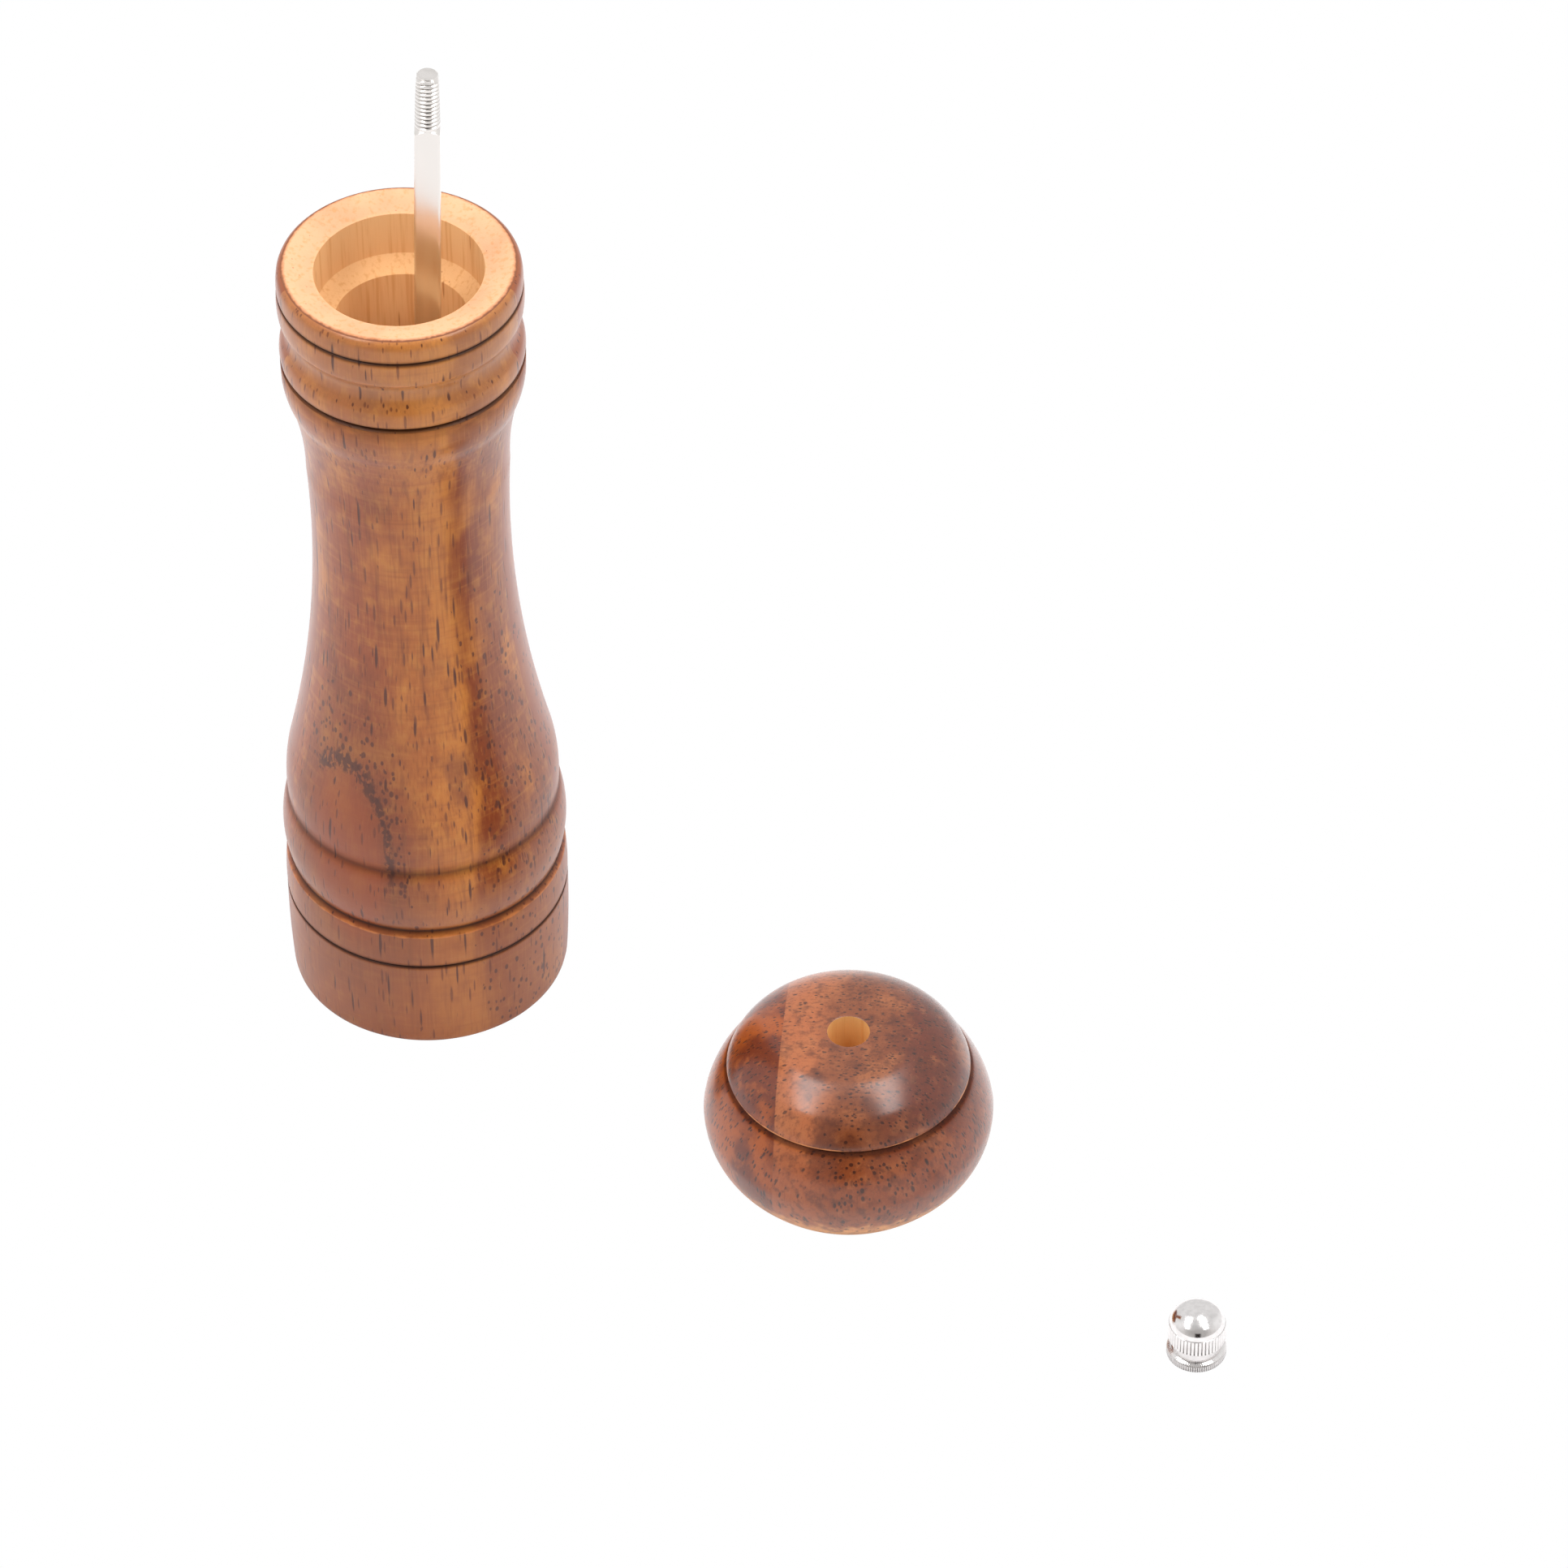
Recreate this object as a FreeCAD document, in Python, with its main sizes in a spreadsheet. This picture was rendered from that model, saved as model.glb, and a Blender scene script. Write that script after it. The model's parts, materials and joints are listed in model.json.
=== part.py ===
import FreeCAD, Part
import math
import os
import re

import Sketcher

# Turned wooden pepper mill, taken apart for refilling. The body stands upright with the
# bare square spindle in it; the head and the chromed nut stand on the same surface beside it.
# Frame: +Z up, origin on the axis of the body at the surface it stands on. Millimetres.

doc = FreeCAD.newDocument("pepper_mill")

# ---------------------------------------------------------------- driving dimensions
DIMENSIONS = {
    # wooden body
    "body_height": 200.0,
    "base_radius": 31.0,
    "neck_radius": 21.2,
    "neck_height": 130.0,
    "top_radius": 25.7,
    "low_line": 24.2,
    "bead_bottom": 34.2,
    "bead_top": 51.4,
    "high_groove": 176.2,
    "rim_line": 194.4,
    "rim_inner_radius": 23.8,
    "counterbore_radius": 17.8,
    "counterbore_floor": 187.7,
    "chamber_radius": 14.0,
    "chamber_top": 185.0,
    "rim_dish": 1.67,
    "line_width": 1.0,
    "line_depth": 0.5,
    "groove_depth": 1.1,
    # radii of the arcs in the body's outline, from the foot up
    "foot_edge_curve": 1.8,
    "foot_curve": 300.0,
    "fillet_curve": 60.0,
    "bead_curve": 27.0,
    "bulge_curve": 45.0,
    "shoulder_height": 66.0,
    "waist_curve": 285.0,
    "neck_curve": 70.0,
    "collar_curve": 22.0,
    "band_curve": 9.0,
    "cove_curve": 5.6,
    "collar_top_curve": 20.0,
    "lip_curve": 16.0,
    "lip_edge_curve": 2.0,
    # seats in the underside of the body
    "flange_depth": 4.0,
    "flange_radius": 25.0,
    "stator_radius": 17.1,
    "stator_top": 20.0,
    "wood_clearance": 0.15,
    # grinding ring and grinding cone
    "flange_thickness": 1.4,
    "ring_tip_radius": 13.7,
    "ring_taper": 0.6,
    "tooth_depth": 0.7,
    "fine_teeth": 36.0,
    "feed_teeth": 6.0,
    "cone_radius": 12.9,
    "cone_shoulder": 9.0,
    "cone_top": 17.5,
    "cone_foot": 4.4,
    "cone_top_radius": 7.2,
    "cone_socket": 6.2,
    # square spindle
    "bar_width": 5.45,
    "bar_corner": 0.6,
    "bar_foot": 6.0,
    "spigot_radius": 2.4,
    "thread_radius": 2.62,
    "thread_pitch": 1.0,
    "thread_bottom": 236.0,
    "spindle_top": 250.5,
    "lean_height": 12.0,
    "lean_angle": 1.83,
    # spring between the cone and the guide bridge
    "bridge_height": 31.0,
    "strap_thickness": 1.2,
    "strap_width": 13.0,
    "bridge_hole": 4.8,
    "washer_thickness": 0.8,
    "washer_radius": 6.6,
    "spring_radius": 5.3,
    "spring_wire": 0.9,
    "spring_turns": 5.0,
    # strap across the underside
    "bracket_length": 48.0,
    "bracket_width": 10.0,
    "bush_radius": 4.0,
    "bush_bore": 2.95,
    "screw_circle": 20.8,
    # round-headed wood screws
    "screw_shank": 1.5,
    "screw_length": 13.0,
    "screw_head": 2.9,
    "screw_head_height": 1.1,
    "screw_clearance": 0.25,
    # head
    "head_x": 92.3,
    "head_y": -70.6,
    "head_radius": 31.2,
    "head_height": 43.9,
    "tenon_radius": 16.6,
    "tenon_length": 5.0,
    "ledge_radius": 26.2,
    "ledge_height": 34.2,
    "under_curve": 48.0,
    "low_belly_curve": 19.0,
    "belly_curve": 24.0,
    "ledge_curve": 14.0,
    "brow_curve": 17.0,
    "crown_curve": 60.0,
    "head_hole": 4.53,
    # steel plate let into the underside of the head
    "plate_radius": 13.0,
    "plate_thickness": 1.2,
    "plate_socket": 5.9,
    "plate_lift": 0.4,
    "plate_screw_offset": 8.8,
    "small_shank": 1.1,
    "small_length": 9.0,
    "small_head": 2.2,
    # chromed nut
    "nut_x": 165.7,
    "nut_y": -123.3,
    "nut_height": 12.7,
    "nut_radius": 6.15,
    "nut_flange_radius": 6.4,
    "nut_flange": 1.9,
    "nut_neck_radius": 5.4,
    "nut_rib_bottom": 4.9,
    "nut_rib_top": 10.1,
    "nut_bore": 2.2,
    "nut_bore_depth": 10.5,
    "nut_ribs": 48.0,
}

sheet = doc.addObject("Spreadsheet::Sheet", "dims")
for row, (alias, size) in enumerate(DIMENSIONS.items(), start=1):
    sheet.set("A%d" % row, alias)
    sheet.set("B%d" % row, "%g" % size)
    sheet.setAlias("B%d" % row, alias)
doc.recompute()

SUBPARTS = []


# ---------------------------------------------------------------- drawing helpers
def bound(text):
    """A size written with the sheet's words, ready for setExpression."""
    return re.sub(r"[a-z][a-z_]+(?![a-z_(])", lambda word: "dims." + word.group(), text)


def worth(text):
    """What that size comes to now."""
    return float(sheet.evalExpression(bound(text)))


def new_body(name):
    body = doc.addObject("PartDesign::Body", name)
    body.Label = name
    SUBPARTS.append(body)
    return body


def new_sketch(body, name, plane, lift="0"):
    """An empty sketch on one of the body's own origin planes, lifted along its normal."""
    sketch = body.newObject("Sketcher::SketchObject", name)
    support = [item for item in body.Origin.OriginFeatures if item.Role == plane][0]
    sketch.AttachmentSupport = (support, [""])
    sketch.MapMode = "FlatFace"
    sketch.setExpression("AttachmentOffset.Base.z", bound(lift))
    return sketch


def arc_middle(start, end, radius):
    """Middle point of an arc; a positive radius bulges to the right of start to end."""
    chord = end - start
    side = FreeCAD.Vector(chord.y, -chord.x, 0).normalize()
    half = chord.Length / 2
    sagitta = abs(radius) - math.sqrt(radius * radius - half * half)
    return start + chord * 0.5 + side * math.copysign(sagitta, radius)


def draw_outline(sketch, corners):
    """A closed outline. A corner is (across, up) or, where an arc leads on from it,
    (across, up, radius); every coordinate and radius is bound to the sheet."""
    points = [FreeCAD.Vector(worth(corner[0]), worth(corner[1]), 0) for corner in corners]
    edges = []
    for index, corner in enumerate(corners):
        start = points[index]
        end = points[(index + 1) % len(points)]
        if len(corner) == 2:
            edges.append((sketch.addGeometry(Part.LineSegment(start, end), False), 1, 2))
            continue
        radius = worth(corner[2])
        edge = sketch.addGeometry(Part.Arc(start, arc_middle(start, end, radius), end), False)
        turns_left = radius > 0
        edges.append((edge, 1, 2) if turns_left else (edge, 2, 1))
        number = sketch.addConstraint(Sketcher.Constraint("Radius", edge, abs(radius)))
        sketch.setExpression("Constraints[%d]" % number, bound("abs(%s)" % corner[2]))
    for index, corner in enumerate(corners):
        edge, first, _ = edges[index]
        before, _, last = edges[index - 1]
        sketch.addConstraint(Sketcher.Constraint("Coincident", before, last, edge, first))
        for kind, text, axis in (("DistanceX", corner[0], -2), ("DistanceY", corner[1], -1)):
            size = worth(text)
            if size == 0:
                sketch.addConstraint(Sketcher.Constraint("PointOnObject", edge, first, axis))
                continue
            number = sketch.addConstraint(Sketcher.Constraint(kind, -1, 1, edge, first, size))
            sketch.setExpression("Constraints[%d]" % number, bound(text))


def draw_circle(sketch, across, up, radius):
    centre = FreeCAD.Vector(worth(across), worth(up), 0)
    circle = sketch.addGeometry(
        Part.Circle(centre, FreeCAD.Vector(0, 0, 1), worth(radius)), False)
    number = sketch.addConstraint(Sketcher.Constraint("Radius", circle, worth(radius)))
    sketch.setExpression("Constraints[%d]" % number, bound(radius))
    for kind, text, axis in (("DistanceX", across, -2), ("DistanceY", up, -1)):
        if worth(text) == 0:
            sketch.addConstraint(Sketcher.Constraint("PointOnObject", circle, 3, axis))
            continue
        number = sketch.addConstraint(Sketcher.Constraint(kind, -1, 1, circle, 3, worth(text)))
        sketch.setExpression("Constraints[%d]" % number, bound(text))


def rounded_square(width, corner):
    """Corners of a square of that width, its edges rounded, about the origin."""
    far = "%s / 2" % width
    near = "(%s / 2 - %s)" % (width, corner)
    return [("-" + near, "-" + far), (near, "-" + far, corner), (far, "-" + near),
            (far, near, corner), (near, far), ("-" + near, far, corner),
            ("-" + far, near), ("-" + far, "-" + near, corner)]


def revolve(body, name, corners):
    """A turned solid: the outline is (radius, height) and turns about the body's Z axis."""
    sketch = new_sketch(body, name + "_outline", "XZ_Plane")
    draw_outline(sketch, corners)
    turned = body.newObject("PartDesign::Revolution", name)
    turned.Profile = sketch
    turned.ReferenceAxis = (sketch, ["V_Axis"])
    turned.Angle = 360
    return turned


def pad(body, sketch, name, length, midplane=False):
    solid = body.newObject("PartDesign::Pad", name)
    solid.Profile = sketch
    solid.setExpression("Length", bound(length))
    solid.Midplane = midplane
    return solid


def pocket(body, sketch, name, length):
    """Cuts the sketch downwards, against its normal, to that depth."""
    cut = body.newObject("PartDesign::Pocket", name)
    cut.Profile = sketch
    cut.setExpression("Length", bound(length))
    return cut


def cut_through(body, sketch, name):
    """Cuts the sketch right through the body, both ways."""
    cut = body.newObject("PartDesign::Pocket", name)
    cut.Profile = sketch
    cut.Type = "ThroughAll"
    cut.Midplane = True
    return cut


def repeat_round(body, feature, name, count):
    """Repeats a cut round the body's Z axis."""
    pattern = body.newObject("PartDesign::PolarPattern", name)
    pattern.Originals = [feature]
    pattern.Axis = (feature.Profile[0], ["N_Axis"])
    pattern.Angle = 360
    pattern.setExpression("Occurrences", bound(count))
    body.Tip = pattern
    return pattern


def washer(name, inner, outer, bottom, thickness):
    """A flat ring lying level."""
    body = new_body(name)
    top = "%s + %s" % (bottom, thickness)
    revolve(body, "ring", [(inner, bottom), (outer, bottom), (outer, top), (inner, top)])
    return body


# ---------------------------------------------------------------- wooden body
def make_mill_body():
    """Turned body: plain foot, bead, long waisted neck, cove and banded top. The middle
    is bored through as the peppercorn chamber and the top is counterbored for the head."""
    body = new_body("mill_body")
    flange = "flange_radius + 0.6"
    stator = "stator_radius + wood_clearance"
    corners = [
        (flange, "0"),
        ("base_radius - 1.4", "0", "foot_edge_curve"),
        ("base_radius - 0.6", "1.6", "foot_curve"),
        ("base_radius - 0.05", "low_line - line_width / 2"),
        ("base_radius - 0.05 - line_depth", "low_line"),
        ("base_radius - 0.05", "low_line + line_width / 2", "fillet_curve"),
        ("base_radius - 0.3", "bead_bottom - 1.2"),
        ("base_radius - 1.3", "bead_bottom", "bead_curve"),
        ("base_radius - 1.4", "bead_top", "bulge_curve"),
        ("base_radius - 2.55", "shoulder_height", "-waist_curve"),
        ("neck_radius + 0.4", "neck_height + 16", "-neck_curve"),
        ("neck_radius + 2.7", "high_groove - 11.6", "collar_curve"),
        ("top_radius - 0.1", "high_groove - 5.2"),
        ("top_radius", "high_groove - 0.9"),
        ("top_radius - 0.1 - groove_depth", "high_groove"),
        ("top_radius - 0.05", "high_groove + 0.9", "band_curve"),
        ("top_radius - 0.4", "high_groove + 5", "-cove_curve"),
        ("top_radius - 0.1", "rim_line - 6", "collar_top_curve"),
        ("top_radius", "rim_line - 0.6"),
        ("top_radius - 0.05 - line_depth", "rim_line"),
        ("top_radius", "rim_line + 0.6", "lip_curve"),
        ("top_radius - 0.2", "body_height - 1.6", "lip_edge_curve"),
        ("rim_inner_radius", "body_height"),
        ("counterbore_radius", "body_height - rim_dish"),
        ("counterbore_radius", "counterbore_floor"),
        ("chamber_radius", "chamber_top"),
        ("chamber_radius", "stator_top + strap_thickness"),
        (stator, "stator_top + strap_thickness"),
        (stator, "flange_depth"),
        (flange, "flange_depth"),
    ]
    revolve(body, "turning", corners)
    holes = new_sketch(body, "pilot_holes", "XY_Plane", "flange_depth + screw_length")
    for across, up in (("screw_circle", "0"), ("-screw_circle", "0"),
                       ("0", "screw_circle"), ("0", "-screw_circle")):
        draw_circle(holes, across, up, "screw_shank + 0.05")
    pocket(body, holes, "pilot_bores", "screw_length + flange_depth")
    return body


# ---------------------------------------------------------------- mechanism
def tooth_notch(sketch, tip, root, count):
    """A V between two teeth, pointing from the tip radius to the root radius."""
    half = "%s * tan(180 / %s) * 0.8" % (tip, count)
    over = "(%s + (%s - %s) * 0.25)" % (tip, tip, root)
    draw_outline(sketch, [(over, "-" + half), (root, "0"), (over, half)])


def make_stator():
    """Grinding ring: a flanged sleeve with fine teeth inside and four screw holes."""
    body = new_body("stator")
    flange_bottom = "flange_depth - flange_thickness"
    corners = [
        ("ring_tip_radius", flange_bottom),
        ("flange_radius", flange_bottom),
        ("flange_radius", "flange_depth - 0.05"),
        ("stator_radius", "flange_depth - 0.05"),
        ("stator_radius", "stator_top - 0.1"),
        ("ring_tip_radius + 1.2", "stator_top - 0.1"),
        ("ring_tip_radius - ring_taper", "cone_shoulder + 4"),
        ("ring_tip_radius - ring_taper", "cone_shoulder"),
    ]
    revolve(body, "sleeve", corners)
    notch = new_sketch(body, "notch", "XY_Plane")
    tip = "(ring_tip_radius - ring_taper)"
    tooth_notch(notch, tip, "(ring_tip_radius + tooth_depth)", "fine_teeth")
    doc.recompute()
    repeat_round(body, cut_through(body, notch, "tooth_gap"), "teeth", "fine_teeth")
    hole = new_sketch(body, "hole", "XY_Plane")
    draw_circle(hole, "screw_circle", "0", "screw_shank + screw_clearance")
    repeat_round(body, cut_through(body, hole, "screw_hole"), "screw_holes", "4")
    return body


def make_rotor():
    """Grinding cone: fine teeth round its skirt, coarse slanting grooves up its nose and
    a square socket down its middle, loose on the spindle."""
    body = new_body("rotor")
    corners = [
        ("0", "cone_foot"),
        ("cone_radius", "cone_foot"),
        ("cone_radius - ring_taper", "cone_shoulder"),
        ("cone_top_radius", "cone_top"),
        ("0", "cone_top"),
    ]
    revolve(body, "cone", corners)
    notch = new_sketch(body, "notch", "XY_Plane", "cone_shoulder")
    tooth_notch(notch, "cone_radius", "(cone_radius - ring_taper - tooth_depth)", "fine_teeth")
    doc.recompute()
    gap = pocket(body, notch, "tooth_gap", "cone_shoulder")
    repeat_round(body, gap, "skirt_teeth", "fine_teeth")
    groove = new_sketch(body, "groove", "XY_Plane", "cone_top + 1")
    draw_circle(groove, "cone_top_radius + 3.4", "3", "1.7")
    feed = pocket(body, groove, "feed_groove", "cone_top + 1 - cone_shoulder")
    feed.UseCustomVector = True
    feed.Direction = FreeCAD.Vector(0.1, -0.55, -1)
    repeat_round(body, feed, "feed_grooves", "feed_teeth")
    socket = new_sketch(body, "socket", "XY_Plane")
    draw_outline(socket, rounded_square("cone_socket", "0.3"))
    cut_through(body, socket, "square_socket")
    return body


def make_spindle():
    """Square bar with a round spigot below and a screw thread above. It leans in the
    loose socket of the cone, because nothing holds its top while the head is off."""
    body = new_body("spindle")
    square = new_sketch(body, "square", "XY_Plane", "bar_foot")
    draw_outline(square, rounded_square("bar_width", "bar_corner"))
    pad(body, square, "bar", "spindle_top - bar_foot")
    spigot = new_sketch(body, "spigot", "XY_Plane", "bar_foot + 1")
    draw_circle(spigot, "0", "0", "spigot_radius")
    foot = pad(body, spigot, "foot", "bar_foot - 0.6")
    foot.Reversed = True
    # waste outside the threaded end is turned away, leaving a cone where the flats run out
    waste = new_sketch(body, "waste", "XZ_Plane")
    draw_outline(waste, [
        ("thread_radius", "thread_bottom + 0.2"),
        ("bar_width", "thread_bottom - 2.2"),
        ("bar_width", "spindle_top + 1"),
        ("thread_radius - 1.62", "spindle_top + 1"),
        ("thread_radius - 0.62", "spindle_top"),
        ("thread_radius", "spindle_top - 0.7"),
    ])
    turned = body.newObject("PartDesign::Groove", "turned_end")
    turned.Profile = waste
    turned.ReferenceAxis = (waste, ["V_Axis"])
    turned.Angle = 360
    profile = new_sketch(body, "thread_profile", "XZ_Plane")
    draw_outline(profile, [
        ("thread_radius - 0.55", "thread_bottom + 0.5"),
        ("thread_radius + 0.15", "thread_bottom + 0.05"),
        ("thread_radius + 0.15", "thread_bottom + 0.95"),
    ])
    doc.recompute()
    thread = body.newObject("PartDesign::SubtractiveHelix", "thread")
    thread.Profile = profile
    thread.ReferenceAxis = (profile, ["V_Axis"])
    thread.Mode = "pitch-height-angle"
    thread.setExpression("Pitch", bound("thread_pitch"))
    thread.setExpression("Height", bound("spindle_top - thread_bottom"))
    pivot = FreeCAD.Vector(0, 0, worth("lean_height"))
    lean = FreeCAD.Rotation(FreeCAD.Vector(0, 1, 0), worth("lean_angle"))
    body.Placement = FreeCAD.Placement(FreeCAD.Vector(0, 0, 0), lean, pivot)
    return body


def make_guide_bridge():
    """Steel strap bent into a bridge, its feet clamped between the grinding ring and the
    wood; the spring pushes up against it."""
    body = new_body("guide_bridge")
    side = new_sketch(body, "side", "XZ_Plane")
    outer = "chamber_radius - 1.9"
    inner = "(chamber_radius - 1.9 - strap_thickness)"
    toe = "stator_radius - 1.5"
    sole = "stator_top - 0.05"
    instep = "stator_top - 0.05 + strap_thickness"
    top = "bridge_height + strap_thickness"
    draw_outline(side, [
        ("-(%s)" % toe, sole), ("-" + inner, sole), ("-" + inner, "bridge_height"),
        (inner, "bridge_height"), (inner, sole), (toe, sole), (toe, instep),
        (outer, instep), (outer, top), ("-(%s)" % outer, top),
        ("-(%s)" % outer, instep), ("-(%s)" % toe, instep),
    ])
    pad(body, side, "strap", "strap_width", midplane=True)
    hole = new_sketch(body, "hole", "XY_Plane", top)
    draw_circle(hole, "0", "0", "bridge_hole")
    doc.recompute()
    pocket(body, hole, "spindle_hole", "strap_thickness * 2")
    return body


def make_spring():
    """Compression spring of round wire between its two washers."""
    body = new_body("spring")
    wire = new_sketch(body, "wire", "XZ_Plane")
    bottom = "cone_top + washer_thickness + spring_wire / 2 + 0.1"
    draw_circle(wire, "spring_radius", bottom, "spring_wire / 2")
    doc.recompute()
    coil = body.newObject("PartDesign::AdditiveHelix", "coil")
    coil.Profile = wire
    coil.ReferenceAxis = (wire, ["V_Axis"])
    coil.Mode = "height-turns-angle"
    rise = "bridge_height - cone_top - washer_thickness * 2 - spring_wire - 0.2"
    coil.setExpression("Height", bound(rise))
    coil.setExpression("Turns", bound("spring_turns"))
    return body


def make_bottom_bracket():
    """Flat strap across the underside; its bush carries the foot of the spindle."""
    body = new_body("bottom_bracket")
    top = "flange_depth - flange_thickness"
    plan = new_sketch(body, "plan", "XY_Plane", top)
    half = "(bracket_length / 2 - bracket_width / 2)"
    wide = "bracket_width / 2"
    draw_outline(plan, [
        ("-" + half, "-" + wide), (half, "-" + wide, wide + " + 0.001"),
        (half, wide), ("-" + half, wide, wide + " + 0.001"),
    ])
    strap = pad(body, plan, "strap", "strap_thickness")
    strap.Reversed = True
    holes = new_sketch(body, "holes", "XY_Plane")
    draw_circle(holes, "0", "0", "bush_radius")
    draw_circle(holes, "screw_circle", "0", "screw_shank + screw_clearance")
    draw_circle(holes, "-screw_circle", "0", "screw_shank + screw_clearance")
    doc.recompute()
    cut_through(body, holes, "holes_cut")
    return body


def make_bracket_bush():
    """Flanged bush pressed into the strap; the spigot of the spindle stands in it."""
    body = new_body("bracket_bush")
    top = "flange_depth - flange_thickness"
    bottom = "flange_depth - flange_thickness - strap_thickness"
    revolve(body, "bush", [
        ("bush_bore", bottom),
        ("bush_radius - 0.02", bottom),
        ("bush_radius - 0.02", top),
        ("bush_radius + 1", top),
        ("bush_radius + 1", top + " + 0.9"),
        ("bush_bore", top + " + 0.9"),
    ])
    return body


def make_retaining_clip():
    """Open ring snapped onto the spigot under the cone; it lifts the cone as the nut
    is tightened."""
    body = new_body("retaining_clip")
    bottom = "cone_foot - washer_thickness"
    ring = new_sketch(body, "ring", "XY_Plane", bottom)
    draw_circle(ring, "0", "0", "spigot_radius + 0.5")
    draw_circle(ring, "0", "0", "spigot_radius + 2")
    pad(body, ring, "plate", "washer_thickness - 0.1")
    gap = new_sketch(body, "gap", "XY_Plane")
    draw_outline(gap, [("0.5", "-1.2"), ("8", "-1.2"), ("8", "1.2"), ("0.5", "1.2")])
    doc.recompute()
    cut_through(body, gap, "mouth")
    return body


def make_screw(name, head, head_height, shank, length):
    """Wood screw pointing up: domed head below the seat at zero, crossed slots in it."""
    body = new_body(name)
    revolve(body, "blank", [
        ("0", "-" + head_height, "%s * 2.5" % head),
        (head, "-%s * 0.35" % head_height),
        (head, "0"),
        (shank, "0"),
        (shank, "%s - 2.5" % length),
        ("0", length),
    ])
    slot = new_sketch(body, "slot", "XY_Plane", "-%s * 0.45" % head_height)
    arm = "%s * 0.62" % head
    thin = "%s * 0.13" % head
    minus_arm = "-%s * 0.62" % head
    minus_thin = "-%s * 0.13" % head
    draw_outline(slot, [
        (thin, thin), (arm, thin), (arm, minus_thin), (thin, minus_thin),
        (thin, minus_arm), (minus_thin, minus_arm), (minus_thin, minus_thin),
        (minus_arm, minus_thin), (minus_arm, thin), (minus_thin, thin),
        (minus_thin, arm), (thin, arm),
    ])
    doc.recompute()
    pocket(body, slot, "cross_slot", head_height)
    return body


def place(body, across, along, up="0"):
    """Binds where a body stands to the sheet."""
    body.setExpression(".Placement.Base.x", bound(across))
    body.setExpression(".Placement.Base.y", bound(along))
    body.setExpression(".Placement.Base.z", bound(up))


# ---------------------------------------------------------------- head
def make_head():
    """Turned head: flattened ball with a narrow ledge under its crown, a tenon below that
    drops into the body and a hole right through for the spindle."""
    body = new_body("head")
    recess = "plate_radius + 0.3"
    depth = "plate_lift + plate_thickness"
    corners = [
        (recess, "0"),
        ("tenon_radius - 0.5", "0"),
        ("tenon_radius", "0.5"),
        ("tenon_radius", "tenon_length - 1.5"),
        ("rim_inner_radius - 0.8", "tenon_length", "under_curve"),
        ("head_radius - 4.1", "tenon_length + 4.7", "low_belly_curve"),
        ("head_radius", "head_height - 22.2", "belly_curve"),
        ("ledge_radius + 0.3", "ledge_height - 1"),
        ("ledge_radius - 0.5", "ledge_height - 0.45"),
        ("ledge_radius", "ledge_height", "ledge_curve"),
        ("ledge_radius - 3.5", "head_height - 4.2", "brow_curve"),
        ("ledge_radius - 11.9", "head_height - 0.4", "crown_curve"),
        ("head_hole", "head_height"),
        ("head_hole", depth),
        (recess, depth),
    ]
    revolve(body, "turning", corners)
    holes = new_sketch(body, "pilot_holes", "XY_Plane", "small_length + 1")
    for side in ("", "-"):
        draw_circle(holes, side + "plate_screw_offset", "0", "small_shank + 0.05")
    pocket(body, holes, "pilot_bores", "small_length")
    place(body, "head_x", "head_y")
    return body


def make_driver_plate():
    """Steel disc with the square hole that turns the spindle."""
    body = new_body("driver_plate")
    disc = new_sketch(body, "disc", "XY_Plane", "plate_lift")
    draw_circle(disc, "0", "0", "plate_radius")
    pad(body, disc, "plate", "plate_thickness")
    holes = new_sketch(body, "holes", "XY_Plane")
    draw_outline(holes, rounded_square("plate_socket", "0.4"))
    for side in ("", "-"):
        draw_circle(holes, side + "plate_screw_offset", "0", "small_shank + 0.2")
    doc.recompute()
    cut_through(body, holes, "holes_cut")
    place(body, "head_x", "head_y")
    return body


# ---------------------------------------------------------------- nut
def make_adjusting_nut():
    """Chromed nut in one piece: thin flange, narrow neck, ribbed grip and domed top."""
    body = new_body("adjusting_nut")
    corners = [
        ("nut_bore", "0"),
        ("nut_flange_radius - 0.2", "0"),
        ("nut_flange_radius", "0.25"),
        ("nut_flange_radius", "nut_flange - 0.3"),
        ("nut_flange_radius - 0.25", "nut_flange"),
        ("nut_neck_radius", "nut_flange + 0.3"),
        ("nut_neck_radius", "nut_rib_bottom - 0.7"),
        ("nut_radius", "nut_rib_bottom"),
        ("nut_radius", "nut_rib_top"),
        ("nut_radius - 0.1", "nut_rib_top + 0.2", "4"),
        ("nut_radius * 0.62", "nut_height - 0.5", "nut_radius ^ 2 * 0.3844 + 0.25"),
        ("0", "nut_height"),
        ("0", "nut_bore_depth"),
        ("nut_bore", "nut_bore_depth - 1.2"),
    ]
    revolve(body, "turning", corners)
    notch = new_sketch(body, "notch", "XY_Plane", "nut_rib_top")
    half = "nut_radius * tan(180 / nut_ribs) * 0.55"
    draw_outline(notch, [
        ("nut_radius + 0.2", "-" + half), ("nut_radius + 0.2", half),
        ("nut_radius - 0.2", "0"),
    ])
    doc.recompute()
    cut = pocket(body, notch, "rib_gap", "nut_rib_top - nut_rib_bottom")
    repeat_round(body, cut, "ribs", "nut_ribs")
    place(body, "nut_x", "nut_y")
    return body


# ---------------------------------------------------------------- assembly
make_mill_body()
make_stator()
make_rotor()
make_spindle()
make_guide_bridge()
make_spring()
make_bottom_bracket()
make_bracket_bush()
make_retaining_clip()
washer("spring_lower_washer", "4.4", "washer_radius", "cone_top + 0.05", "washer_thickness")
washer("spring_upper_washer", "4.8", "washer_radius",
       "bridge_height - washer_thickness - 0.05", "washer_thickness")

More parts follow.
